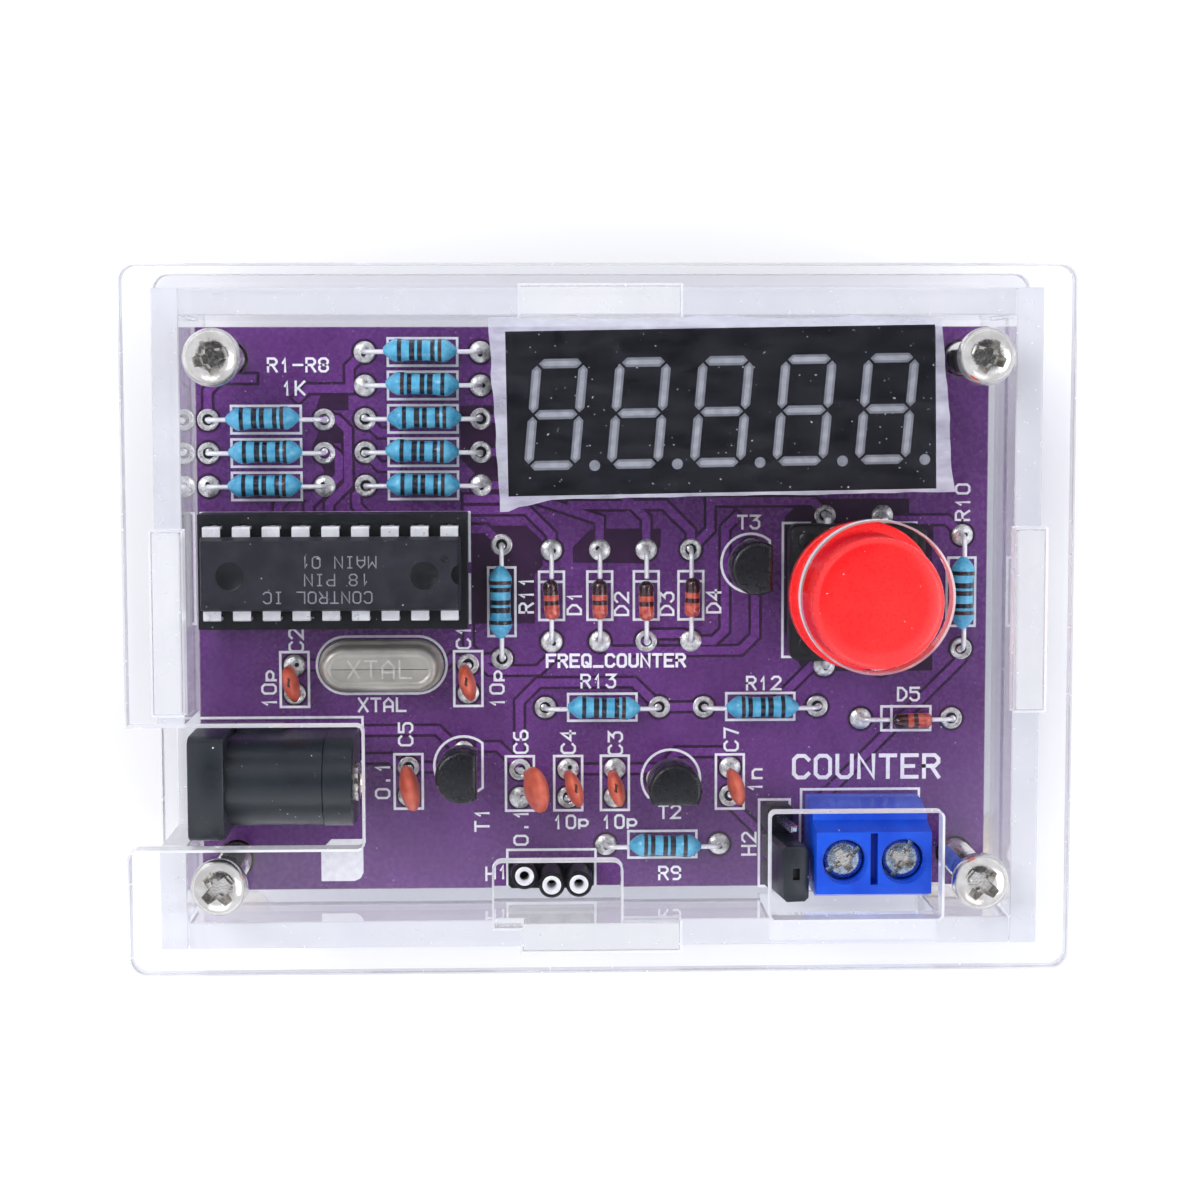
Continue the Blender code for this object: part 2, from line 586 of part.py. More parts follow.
def make_switch(case):
    """The square key switch, its plunger and the round red cap over it."""
    place = on_board(*SWITCH_AT)
    half = SWITCH_SIDE / 2
    bm = bmesh.new()
    add_prism(bm, rounded_rectangle(SWITCH_SIDE, SWITCH_SIDE, 0.8 * MM, 2), GAP, SWITCH_BODY_H, place)
    switch = make_object("key_switch", bm, "black_plastic", case)
    bm = bmesh.new()
    well = [(SWITCH_WELL_R, SWITCH_BODY_H + MM), (SWITCH_WELL_R, SWITCH_BODY_H - SWITCH_WELL_DEPTH)]
    add_lathe(bm, well, 24, place)
    boolean(switch, make_object("switch_well", bm, "black_plastic", case))

    axis = make_empty("button_axis", place.translation, case)
    bm = bmesh.new()
    add_lathe(bm, [(PLUNGER_R, SWITCH_BODY_H + PLUNGER_HIGH), (PLUNGER_R, SWITCH_BODY_H - PLUNGER_LOW)], 20)
    plunger = make_object("switch_plunger", bm, "black_plastic", axis)
    stem = STEM_HALF
    bm = bmesh.new()
    add_box(bm, (-stem, -stem, SWITCH_BODY_H), (stem, stem, PLUNGER_TOP))
    boolean(plunger, make_object("plunger_stem", bm, "black_plastic", axis), "UNION")

    bulge = 0.3 * CAP_RIM
    flange_top = CAP_BASE + CAP_FLANGE_H
    bm = bmesh.new()
    profile = [(CAP_R - CAP_RIM, CAP_TOP), (CAP_R - bulge, CAP_TOP - bulge), (CAP_R, CAP_TOP - CAP_RIM),
               (CAP_R, flange_top), (CAP_FLANGE_R, flange_top), (CAP_FLANGE_R, CAP_BASE)]
    add_lathe(bm, profile, 36)
    cap = make_object("button_cap", bm, "red_plastic", axis)
    bm = bmesh.new()
    add_lathe(bm, [(CAP_R - CAP_WALL, CAP_TOP - CAP_ROOF), (CAP_R - CAP_WALL, CAP_BASE - MM)], 24)
    hollow = make_object("cap_hollow", bm, "red_plastic", axis)
    boolean(cap, hollow)
    outer = stem + SOCKET_WALL
    bm = bmesh.new()
    add_box(bm, (-outer, -outer, CAP_BASE + 0.4 * MM), (outer, outer, CAP_TOP - MM))
    boolean(cap, make_object("cap_socket", bm, "red_plastic", axis), "UNION")
    bm = bmesh.new()
    inner = stem + GAP / 2
    add_box(bm, (-inner, -inner, CAP_BASE - MM), (inner, inner, PLUNGER_TOP + GAP))
    boolean(cap, make_object("cap_socket_hole", bm, "red_plastic", axis))


def make_jack(case):
    """The power socket: a square mouth, a round-backed body, a bore and a pin."""
    front, back = JACK_X
    half = JACK_W / 2
    place = on_board(0, JACK_Y) @ lie_along_x()
    cut = JACK_CHAMFER
    mouth = [(-half, GAP), (half, GAP), (half, JACK_H - cut), (half - cut, JACK_H),
             (-half + cut, JACK_H), (-half, JACK_H - cut)]
    bm = bmesh.new()
    add_prism(bm, mouth, front, front + JACK_FLANGE, place)
    jack = make_object("power_jack", bm, "black_plastic", case)
    steps = 10
    arch = [(-JACK_ARCH_R, 2 * GAP), (JACK_ARCH_R, 2 * GAP)]
    for k in range(steps + 1):
        angle = math.pi * k / steps
        arch.append((JACK_ARCH_R * math.cos(angle), JACK_ARCH_H + JACK_ARCH_R * math.sin(angle)))
    bm = bmesh.new()
    add_prism(bm, arch, front + JACK_FLANGE - 0.4 * MM, back, place)
    boolean(jack, make_object("jack_body", bm, "black_plastic", case), "UNION")
    bore = place @ Matrix.Translation((0, JACK_AXIS_H, front))
    bm = bmesh.new()
    add_lathe(bm, [(JACK_BORE_R, JACK_BORE_L), (JACK_BORE_R, -MM)], 24, bore)
    boolean(jack, make_object("jack_bore", bm, "black_plastic", case))
    bm = bmesh.new()
    pin = [(JACK_PIN_R, JACK_BORE_L + MM), (JACK_PIN_R, JACK_PIN_BACK), (0.6 * JACK_PIN_R, MM)]
    add_lathe(bm, pin, 12, bore)
    boolean(jack, make_object("jack_pin", bm, "nickel", case), "UNION")


def make_terminal(case):
    """The two-way screw terminal, with its clamp cages and screws."""
    half_w = TERMINAL_W / 2
    front, back = TERMINAL_Y
    place = on_board(TERMINAL_X, 0)
    nose_y, nose_h = TERMINAL_NOSE
    outline = [(front, GAP), (back, GAP)] + [(back + dy, z) for dy, z in TERMINAL_STEPS]
    outline += [(front + nose_y, TERMINAL_H), (front, TERMINAL_H - nose_h)]
    bm = bmesh.new()
    add_prism(bm, outline, -half_w, half_w, place @ lie_along_x())
    housing = make_object("terminal_block", bm, "blue_plastic", case)
    bm = bmesh.new()
    for side in (-1, 1):
        x = side * TERMINAL_PITCH / 2
        well = place @ Matrix.Translation((x, TERMINAL_SCREW_Y, 0))
        add_lathe(bm, [(WELL_R, TERMINAL_H + MM), (WELL_R, WELL_LOW)], 20, well)
    boolean(housing, make_object("screw_wells", bm, "blue_plastic", case))
    bm = bmesh.new()
    for side in (-1, 1):
        x = side * TERMINAL_PITCH / 2
        low = (x - WAY_HALF, front - MM, WAY_LOW)
        add_box(bm, low, (x + WAY_HALF, TERMINAL_SCREW_Y + WAY_BACK, WAY_HIGH), place)
    boolean(housing, make_object("wire_ways", bm, "blue_plastic", case))

    for number, side in enumerate((-1, 1), 1):
        x = side * TERMINAL_PITCH / 2
        centre = place @ Vector((x, TERMINAL_SCREW_Y, 0))
        axis = make_empty(f"terminal_screw_axis_{number}", centre, case)
        bm = bmesh.new()
        add_lathe(bm, TERMINAL_SCREW, 16)
        screw = make_object(f"terminal_screw_{number}", bm, "nickel", axis)
        bm = bmesh.new()
        add_box(bm, (-SLOT_HALF, -2 * MM, SLOT_LOW), (SLOT_HALF, 2 * MM, TERMINAL_H))
        boolean(screw, make_object(f"terminal_screw_slot_{number}", bm, "nickel", axis))
        cage_axis = make_empty(f"clamp_axis_{number}", centre, case)
        bm = bmesh.new()
        add_box(bm, (-CLAMP_HALF, -CLAMP_HALF, CLAMP_LOW), (CLAMP_HALF, CLAMP_HALF, CLAMP_HIGH))
        cage = make_object(f"wire_clamp_{number}", bm, "nickel", cage_axis)
        bm = bmesh.new()
        wide, low, high = CLAMP_WAY
        add_box(bm, (-wide, -3 * MM, low), (wide, 3 * MM, high))
        boolean(cage, make_object(f"clamp_way_{number}", bm, "nickel", cage_axis))
        bm = bmesh.new()
        add_lathe(bm, [(CLAMP_THREAD_R, CLAMP_HIGH + MM), (CLAMP_THREAD_R, CLAMP_THREAD_LOW)], 16)
        boolean(cage, make_object(f"clamp_thread_{number}", bm, "nickel", cage_axis))


def make_headers(case):
    """The round-socket strip, and the pin header with its jumper."""
    place = on_board(*SOCKET_STRIP_AT)
    bm = bmesh.new()
    add_box(bm, (-1.5 * PITCH, -STRIP_HALF, GAP), (1.5 * PITCH, STRIP_HALF, STRIP_H), place)
    strip = make_object("socket_strip", bm, "black_plastic", case)
    ways = [place @ Matrix.Translation((i * PITCH, 0, 0)) for i in (-1, 0, 1)]
    bm = bmesh.new()
    for way in ways:
        add_lathe(bm, [(COLLAR_R, COLLAR_TOP), (COLLAR_R, 2 * MM)], 14, way)
    boolean(strip, make_object("strip_collars", bm, "black_plastic", case), "UNION")
    bm = bmesh.new()
    for way in ways:
        add_lathe(bm, [(COLLAR_HOLE_R, COLLAR_TOP + MM), (COLLAR_HOLE_R, COLLAR_HOLE_LOW)], 10, way)
    boolean(strip, make_object("strip_holes", bm, "black_plastic", case))

    lean = on_board(*PIN_HEADER_AT) @ Matrix.Rotation(PIN_HEADER_LEAN, 4, "Y")
    bm = bmesh.new()
    low, high = HEADER_Z
    add_box(bm, (-HEADER_HALF, -1.5 * PITCH, low), (HEADER_HALF, 1.5 * PITCH, high), lean)
    header = make_object("pin_header", bm, "black_plastic", case)
    low, high = PIN_Z
    bm = bmesh.new()
    for i in (-1, 0, 1):
        add_box(bm, (-PIN_HALF, i * PITCH - PIN_HALF, low), (PIN_HALF, i * PITCH + PIN_HALF, high), lean)
    boolean(header, make_object("header_pins", bm, "brass", case), "UNION")

    axis = make_empty("jumper_axis", lean.translation, case)
    axis.rotation_euler = (0, PIN_HEADER_LEAN, 0)
    bm = bmesh.new()
    middle = -PITCH / 2
    wide, long = JUMPER_HALF
    low, high = JUMPER_Z
    add_box(bm, (-wide, middle - long, low), (wide, middle + long, high))
    jumper = make_object("jumper_cap", bm, "black_plastic", axis)
    bm = bmesh.new()
    play = PIN_HALF + JUMPER_PLAY
    for i in (-1, 0):
        add_box(bm, (-play, i * PITCH - play, 2 * MM), (play, i * PITCH + play, JUMPER_ROOF))
    boolean(jumper, make_object("jumper_sockets", bm, "black_plastic", axis))


def make_crystal(case):
    place = on_board(*CRYSTAL_AT)

    def stadium(width, depth):
        return rounded_rectangle(width, depth, depth / 2 - 1e-5, 6)

    length, width, rim_top = CRYSTAL_RIM
    bm = bmesh.new()
    add_prism(bm, stadium(length, width), GAP, rim_top, place)
    crystal = make_object("crystal", bm, "solder_tin", case)
    length, width, top = CRYSTAL_CAN
    bm = bmesh.new()
    add_prism(bm, stadium(length, width), rim_top - GAP, top, place)
    boolean(crystal, make_object("crystal_can", bm, "solder_tin", case), "UNION")


def make_resistor(name, x, y, turn, case):
    """A resistor lying between two bent leads, centred on x and y."""
    height = RESISTOR_R + 0.35 * MM
    bend = LEAD_BEND
    half = RESISTOR_SPAN / 2
    body = RESISTOR_L / 2
    cap_r = RESISTOR_R * RESISTOR_END
    cap = body - END_CAP_L
    one_side = [(half, GAP, LEAD_R), (half, height - bend, LEAD_R),
                (half - 0.3 * bend, height - 0.3 * bend, LEAD_R), (half - bend, height, LEAD_R),
                (body, height, LEAD_R), (body - 0.05 * MM, height, 0.75 * cap_r),
                (body - 0.35 * MM, height, cap_r), (cap - 0.3 * MM, height, cap_r),
                (cap - 0.6 * MM, height, RESISTOR_R)]
    other_side = [(-px, pz, radius) for px, pz, radius in reversed(one_side)]
    bm = bmesh.new()
    add_sweep(bm, one_side + other_side, 8, on_board(x, y, turn))
    return make_object(name, bm, "resistor_blue", case)


def make_resistors(case):
    places = []
    for row in range(5):
        places.append((-15.08 * MM, 11.08 * MM + (4 - row) * BANK_PITCH, 0.0))
    for row in range(3):
        places.append((-28.85 * MM, 11.04 * MM + (2 - row) * BANK_PITCH, 0.0))
    places += [
        (6.05 * MM, -21.13 * MM, 0.0),
        (32.76 * MM, 1.46 * MM, math.pi / 2),
        (-8.22 * MM, 0.74 * MM, math.pi / 2),
        (14.8 * MM, -8.74 * MM, 0.0),
        (0.68 * MM, -8.73 * MM, 0.0),
    ]
    for number, (x, y, turn) in enumerate(places, 1):
        make_resistor(f"resistor_{number}", x, y, turn, case)


def make_capacitors(case):
    """Ceramic discs that stand on two leads, with the disc nearly along Y."""
    for name, (x, y, radius, turn, lean) in CAPACITORS.items():
        tilt = Matrix.Rotation(math.radians(lean), 4, "Y") @ Matrix.Rotation(math.radians(turn), 4, "Z")
        place = on_board(x, y) @ tilt @ Matrix.Rotation(math.pi / 2, 4, "Z")
        height = radius + CAPACITOR_GAP
        disc = place @ Matrix.Translation((0, 0, height)) @ Matrix.Rotation(math.pi / 2, 4, "X")
        profile = []
        steps = 6
        for k in range(steps + 1):
            angle = math.pi * k / steps
            ring_r = 0 if k in (0, steps) else radius * math.sin(angle) ** DISC_FULLNESS
            profile.append((ring_r, CAPACITOR_T * math.cos(angle)))
        bm = bmesh.new()
        add_lathe(bm, profile, 14, disc)
        capacitor = make_object(name, bm, "capacitor_ceramic", case)
        bm = bmesh.new()
        for side in (-1, 1):
            foot = place @ Matrix.Translation((side * CAPACITOR_FOOT, 0, 0))
            add_lathe(bm, [(LEAD_R, height - 0.3 * radius), (LEAD_R, 2 * GAP)], 6, foot)
        boolean(capacitor, make_object(name + "_leads", bm, "solder_tin", case), "UNION")


def make_transistors(case):
    """Half-round bodies on three leads; the flat faces +X before turning."""
    for name, (x, y, turn) in TRANSISTORS.items():
        place = on_board(x, y, math.radians(turn))
        limit = math.acos(TRANSISTOR_FLAT / TRANSISTOR_R)
        steps = 12
        outline = []
        for k in range(steps + 1):
            angle = limit + (2 * math.pi - 2 * limit) * k / steps
            outline.append((TRANSISTOR_R * math.cos(angle), TRANSISTOR_R * math.sin(angle)))
        low, high = TRANSISTOR_Z
        bm = bmesh.new()
        add_prism(bm, outline, low, high, place)
        body = make_object(name, bm, "black_plastic", case)
        bm = bmesh.new()
        wire = TRANSISTOR_LEAD
        for i in (-1, 0, 1):
            y_lead = i * TRANSISTOR_PITCH
            add_box(bm, (-wire, y_lead - wire, GAP), (wire, y_lead + wire, low + 0.4 * MM), place)
        boolean(body, make_object(name + "_leads", bm, "solder_tin", case), "UNION")


def main():
    clear_scene()
    case = make_empty("frequency_counter", (0, 0, 0))
    make_case(case)
    make_fasteners(case)
    make_board(case)
    make_chip(case)
    make_display(case)
    make_switch(case)
    make_jack(case)
    make_terminal(case)
    make_headers(case)
    make_crystal(case)
    make_resistors(case)
    make_capacitors(case)
    make_transistors(case)


main()
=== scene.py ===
"""Looks for the pocket frequency counter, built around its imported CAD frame.

Shapes are written in millimetres and scaled to metres when a piece is made.
Board places are measured from the middle of the board's top face.
"""

import math
import random

import bmesh
import bpy
from mathutils import Matrix, Vector, noise


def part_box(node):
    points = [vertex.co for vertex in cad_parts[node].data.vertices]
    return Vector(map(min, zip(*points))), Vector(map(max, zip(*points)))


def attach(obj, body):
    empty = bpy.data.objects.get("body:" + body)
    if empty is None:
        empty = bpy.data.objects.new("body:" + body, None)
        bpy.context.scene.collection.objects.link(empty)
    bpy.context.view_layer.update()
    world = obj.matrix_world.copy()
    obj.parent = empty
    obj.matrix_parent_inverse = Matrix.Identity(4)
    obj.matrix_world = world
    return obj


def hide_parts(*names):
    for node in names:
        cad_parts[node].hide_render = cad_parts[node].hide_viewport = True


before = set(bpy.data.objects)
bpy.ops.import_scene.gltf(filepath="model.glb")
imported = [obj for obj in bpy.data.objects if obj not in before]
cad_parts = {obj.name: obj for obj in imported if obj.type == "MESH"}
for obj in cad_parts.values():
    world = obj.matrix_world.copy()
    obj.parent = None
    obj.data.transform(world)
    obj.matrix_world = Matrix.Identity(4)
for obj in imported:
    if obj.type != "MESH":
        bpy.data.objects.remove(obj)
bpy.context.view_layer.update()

MM = 0.001                         # in metres
BOARD_SHIFT = -0.2                 # the board sits this far to the left of the case's middle
BOARD_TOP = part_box("circuit_board")[1].z / MM
BOARD_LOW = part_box("circuit_board")[0].z / MM
LID_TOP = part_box("top_panel")[1].z / MM
PITCH = 2.54                       # between neighbouring pins
SHEET = 2.3                        # thickness of the clear sheets
GAP = 0.1                          # play between two sheets
BASE_Z = 2.0                       # underside of the bottom panel
SIDE_WALL_X = 36.35                # middle of each side wall
END_WALL_Y = 26.87                 # middle of the front and back walls
SIDE_TAB = 15.2                    # along a side wall
END_TAB = 13.2                     # along the front and back walls
FINGER = 3.0                       # half the height of a corner finger
CASE_SCREW = (32.2, 22.2)          # the corner screws, from the middle in X and Y
TERMINAL_WINDOW = (14.5, 29.1)     # from left to right, in lid and front wall
JACK_NOTCH = (-8.8, -19.2)         # from back to front
SHARP = math.radians(38)           # edges sharper than this aren't shaded smooth
SHARP_SHEET = 0.35                 # the same for the clear sheets
UPRIGHT = Matrix.Identity(4)
BOTH = (-1, 1)
CORNERS = [(x, y) for x in BOTH for y in BOTH]


# --- materials -------------------------------------------------------------------
def rgb(red, green, blue):
    """A display colour of 0 to 255 as the linear colour that shaders take."""
    def linear(value):
        value /= 255
        return value / 12.92 if value <= 0.04045 else ((value + 0.055) / 1.055) ** 2.4

    return (linear(red), linear(green), linear(blue), 1.0)


class Look:
    """A node material whose patterns stay in the object's own space."""

    def __init__(self, name):
        self.made = bpy.data.materials.new(name)
        self.made.use_nodes = True
        self.tree = self.made.node_tree
        self.shader = self.tree.nodes["Principled BSDF"]
        self.output = self.tree.nodes["Material Output"]
        self.space = self.add("ShaderNodeTexCoord").outputs["Object"]

    def feed(self, socket, value):
        if isinstance(value, bpy.types.NodeSocket):
            self.tree.links.new(value, socket)
        else:
            socket.default_value = value

    def add(self, kind, sockets=None, **settings):
        made = self.tree.nodes.new(kind)
        for key, value in settings.items():
            setattr(made, key, value)
        for key, value in (sockets or {}).items():
            self.feed(made.inputs[key], value)
        return made

    def noise(self, size, detail=2.0, stretch=(1, 1, 1)):
        """Noise with features about size millimetres across."""
        scale = [s / (size * MM) for s in stretch]
        mapped = self.add("ShaderNodeMapping", {"Vector": self.space, "Scale": scale})
        return self.add("ShaderNodeTexNoise",
                        {"Vector": mapped.outputs[0], "Scale": 1.0, "Detail": detail}).outputs[0]

    def spread(self, value, low, high, to_low=0.0, to_high=1.0):
        made = self.add("ShaderNodeMapRange", {"Value": value, "From Min": low, "From Max": high,
                                               "To Min": to_low, "To Max": to_high})
        return made.outputs[0]

    def mix(self, share, first, second):
        made = self.add("ShaderNodeMix", data_type="RGBA")
        self.feed(made.inputs[0], share)
        self.feed(made.inputs[6], first)
        self.feed(made.inputs[7], second)
        return made.outputs[2]

    def bump(self, height, strength, depth=0.05):
        made = self.add("ShaderNodeBump", {"Height": height, "Strength": strength, "Distance": depth * MM})
        self.feed(self.shader.inputs["Normal"], made.outputs[0])

    def set(self, **sockets):
        for key, value in sockets.items():
            self.feed(self.shader.inputs[key.replace("_", " ")], value)


def surface(name, colour, other, rough, patch, grain, bump, stretch=(1, 1, 1), dust=0.0, **sockets):
    """A material of two mottled colours, uneven gloss, fine bump, and specks of dust.

    The patches of colour and the grain of gloss and bump are sized in millimetres.
    """
    look = Look(name)
    tone = look.mix(look.spread(look.noise(patch, 4), 0.35, 0.65), rgb(*colour), rgb(*other))
    fine = look.noise(grain, 3, stretch)
    gloss = look.spread(fine, 0.3, 0.7, rough[0], rough[1])
    if dust:
        speck = look.spread(look.noise(0.33, 1), 0.80 - 0.1 * dust, 0.84 - 0.1 * dust)
        tone = look.mix(speck, tone, rgb(205, 208, 216))
        gloss = look.spread(speck, 0, 1, gloss, 0.7)
    look.set(Base_Color=tone, Roughness=gloss, **sockets)
    look.bump(fine, bump)
    return look.made


def clear(name, rough, tint, wear, stretch=(1, 1, 1), frost=0.0):
    """Clear acrylic, which lets lamps and soft light through to what is inside."""
    look = Look(name)
    smear = look.noise(6.0, 3)
    lighter = [1 - 0.4 * (1 - level) for level in tint]
    fine = look.noise(wear[0], 2, stretch)
    look.set(Base_Color=look.mix(smear, tint, lighter), Transmission_Weight=1.0 - frost, IOR=1.49,
             Roughness=look.spread(fine, 0.35, 0.75, rough[0], rough[1]))
    look.bump(fine, wear[1], 0.02)
    path = look.add("ShaderNodeLightPath")
    through = look.add("ShaderNodeMath", {0: path.outputs["Is Shadow Ray"],
                                          1: path.outputs["Is Diffuse Ray"]}, operation="MAXIMUM")
    pane = look.add("ShaderNodeBsdfTransparent", {"Color": (0.98, 0.982, 0.995, 1)})
    both = look.add("ShaderNodeMixShader", {0: through.outputs[0], 1: look.shader.outputs[0],
                                            2: pane.outputs[0]})
    look.feed(look.output.inputs["Surface"], both.outputs[0])
    return look.made


def film_look(name, milk):
    """Thin protective film: mostly clear, with a milky share that scatters light."""
    look = Look(name)
    crease = look.noise(3.0, 4, (1, 2.2, 1))
    look.set(Base_Color=look.mix(crease, rgb(216, 217, 228), rgb(240, 241, 248)), Roughness=0.28,
             IOR=1.3)
    look.bump(crease, 0.5, 0.2)
    pane = look.add("ShaderNodeBsdfTransparent", {"Color": (0.97, 0.97, 0.98, 1)})
    share = look.spread(crease, 0.3, 0.75, milk[0], milk[1])
    both = look.add("ShaderNodeMixShader", {0: share, 1: pane.outputs[0], 2: look.shader.outputs[0]})
    look.feed(look.output.inputs["Surface"], both.outputs[0])
    return look.made


ACRYLIC = clear("acrylic", (0.0, 0.015), (0.97, 0.974, 1.0, 1), (4.0, 0.004))
# The bottom panel is the lid's acrylic with a greyer tint. The faint tint is the acrylic's own; the extra
# grey is painted shade for the shaded case beneath the board.
SHADED_BASE_ACRYLIC = clear("base_acrylic_painted_shade", (0.0, 0.015), (0.925, 0.936, 0.968, 1), (4.0, 0.004))
CUT_EDGE = clear("acrylic_cut_edge", (0.1, 0.3), (0.74, 0.75, 0.79, 1), (0.6, 0.25), (1, 1, 0.12), 0.6)
FILM = film_look("film_face", (0.0, 0.012))
FILM_EDGE = film_look("film_edge", (0.28, 0.55))
# name, two colours, roughness from and to, then the sizes of patch and grain, and the bump
MASK = surface("solder_mask", (90, 44, 110), (102, 53, 124), (0.2, 0.34), 5, 0.5, 0.25, dust=0.35,
               Coat_Weight=0.35, Coat_Roughness=0.12)
MASK_TRACE = surface("solder_mask_trace", (102, 50, 126), (112, 58, 136), (0.2, 0.34), 5, 0.5, 0.25,
                     dust=0.3, Coat_Weight=0.35, Coat_Roughness=0.12)
MASK_GAP = surface("solder_mask_gap", (44, 18, 50), (56, 26, 62), (0.3, 0.45), 4, 0.5, 0.2, dust=0.3,
                   Specular_IOR_Level=0.3)
LAMINATE = surface("board_edge", (92, 70, 96), (128, 104, 118), (0.6, 0.8), 0.7, 0.12, 0.6,
                   stretch=(0.3, 0.3, 2))
SILK = surface("silk_ink", (232, 231, 236), (246, 246, 250), (0.5, 0.65), 0.6, 0.12, 0.5)
TIN = surface("tinned_lead", (228, 228, 231), (246, 246, 248), (0.26, 0.42), 0.8, 0.5, 0.08, Metallic=0.35)
SOLDER = surface("solder", (178, 177, 176), (232, 231, 230), (0.22, 0.4), 0.45, 0.35, 0.7, Metallic=0.65)
NICKEL = surface("nickel_plate", (204, 201, 197), (230, 228, 225), (0.1, 0.24), 1.5, 0.18, 0.2,
                 Metallic=1.0)
ZINC = surface("zinc_plate", (126, 142, 162), (182, 196, 212), (0.14, 0.34), 0.5, 0.12, 0.4, Metallic=1.0)
BRASS = surface("brass", (200, 160, 84), (222, 186, 110), (0.16, 0.3), 1.5, 0.15, 0.25, stretch=(1, 1, 4),
                Metallic=1.0)
CAN = surface("crystal_can", (158, 155, 147), (178, 174, 165), (0.28, 0.36), 2.5, 0.14, 0.08,
              stretch=(0.15, 1, 1), Metallic=0.4)
BLACK = surface("black_moulding", (16, 17, 21), (26, 27, 32), (0.3, 0.44), 1.5, 0.15, 0.3, dust=0.25,
                Specular_IOR_Level=0.3)
CHIP_BLACK = surface("chip_epoxy", (34, 34, 41), (45, 45, 53), (0.5, 0.66), 2, 0.09, 0.5, dust=0.25,
                     Specular_IOR_Level=0.2)
# A darker black laid into hollows (the chip's notch and dimples, the holes of the solder pads): painted
# shade. Its lower roughness is gloss.
PIT_SHADE_BLACK = surface("pit_painted_shade", (16, 16, 20), (24, 24, 29), (0.3, 0.4), 1, 0.2, 0.15,
                   Specular_IOR_Level=0.25)
CHIP_INK = surface("chip_ink", (120, 118, 126), (146, 144, 150), (0.5, 0.7), 0.3, 0.1, 0.4)
EPOXY = surface("transistor_epoxy", (15, 15, 19), (22, 23, 28), (0.26, 0.3), 1.5, 0.6, 0.02, dust=0.2,
                Specular_IOR_Level=0.45)
CAN_MARK = surface("can_mark", (176, 173, 166), (196, 193, 186), (0.4, 0.55), 0.4, 0.12, 0.3)
JACK_BLACK = surface("jack_moulding", (21, 27, 34), (30, 37, 45), (0.3, 0.46), 4, 0.2, 0.25, dust=0.3,
                     Coat_Weight=0.2, Coat_Roughness=0.3)
FACE = surface("display_face", (8, 9, 16), (15, 16, 24), (0.4, 0.6), 3, 0.2, 0.15, dust=0.45,
               Specular_IOR_Level=0.12)
SEGMENT = surface("display_segment", (112, 115, 120), (130, 133, 138), (0.35, 0.5), 0.8, 0.15, 0.3)
SEGMENT_CORE = surface("display_segment_core", (146, 150, 154), (168, 171, 175), (0.35, 0.5), 0.8, 0.15,
                       0.3)
DOT = surface("display_dot", (122, 125, 131), (146, 149, 154), (0.35, 0.5), 0.5, 0.15, 0.3)
RED = surface("red_moulding", (246, 22, 26), (253, 34, 33), (0.24, 0.36), 4, 0.3, 0.12, dust=0.15,
              Coat_Weight=0.5, Coat_Roughness=0.15)
BLUE = surface("blue_moulding", (6, 66, 196), (14, 82, 214), (0.3, 0.42), 3, 0.2, 0.25, dust=0.25,
               Coat_Weight=0.2, Coat_Roughness=0.2, Specular_IOR_Level=0.3)
BODY_BLUE = surface("resistor_lacquer", (62, 154, 196), (98, 190, 222), (0.2, 0.36), 1.2, 0.35, 0.45,
                    Coat_Weight=0.5, Coat_Roughness=0.12)
BAND_BROWN = surface("band_brown", (44, 26, 30), (62, 36, 36), (0.25, 0.4), 0.5, 0.3, 0.3, Coat_Weight=0.4)
BAND_BLACK = surface("band_black", (10, 14, 28), (20, 26, 44), (0.25, 0.4), 0.5, 0.3, 0.3, Coat_Weight=0.4)
GLASS_RED = surface("diode_glass", (164, 52, 42), (216, 100, 82), (0.08, 0.18), 0.5, 0.4, 0.2,
                    Coat_Weight=0.8, Coat_Roughness=0.06)
GLASS_DARK = surface("diode_slug", (34, 20, 26), (70, 36, 38), (0.1, 0.2), 0.5, 0.4, 0.2, Coat_Weight=0.8,
                     Coat_Roughness=0.06)
CERAMIC = surface("capacitor_dip", (184, 72, 50), (216, 104, 78), (0.32, 0.5), 1.1, 0.22, 0.55,
                  Coat_Weight=0.25, Coat_Roughness=0.3)
CERAMIC_SLIT = surface("capacitor_mark", (60, 26, 22), (84, 38, 30), (0.4, 0.6), 0.4, 0.15, 0.4)
WHITE_SHEET = surface("pale_floor", (252, 252, 253), (255, 255, 255), (0.6, 0.8), 60, 2, 0.02)


# --- mesh building -----------------------------------------------------------------
def add_object(name, data):
    made = bpy.data.objects.new(name, data)
    bpy.context.scene.collection.objects.link(made)
    return made


def shift(x, y, z=0.0):
    return Matrix.Translation((x, y, z))


def spin(degrees, axis="Z"):
    return Matrix.Rotation(math.radians(degrees), 4, axis)


LIE_X = spin(90, "Z") @ spin(90, "X")      # shape's XY becomes Y and Z, its Z becomes X


def on_board(x, y, turn=0.0):
    return shift(x + BOARD_SHIFT, y, BOARD_TOP) @ spin(turn)


def inset(outline, distance):
    """The outline moved inwards by a distance, with mitred corners."""
    if distance == 0:
        return list(outline)
    moved = []
    count = len(outline)
    area = sum(outline[i][0] * outline[(i + 1) % count][1] - outline[(i + 1) % count][0] * outline[i][1]
               for i in range(count))
    side = 1 if area > 0 else -1
    for i in range(count):
        here = Vector(outline[i])
        before = (here - Vector(outline[i - 1])).normalized()
        after = (Vector(outline[(i + 1) % count]) - here).normalized()
        normal = (Vector((-before.y, before.x)) + Vector((-after.y, after.x))) * side
        length = max(normal.length_squared, 0.5)
        moved.append(tuple(here + normal * (2 * distance / length)))
    return moved


def rectangle(width, depth, x=0.0, y=0.0):
    return [(x - width / 2, y - depth / 2), (x + width / 2, y - depth / 2),
            (x + width / 2, y + depth / 2), (x - width / 2, y + depth / 2)]


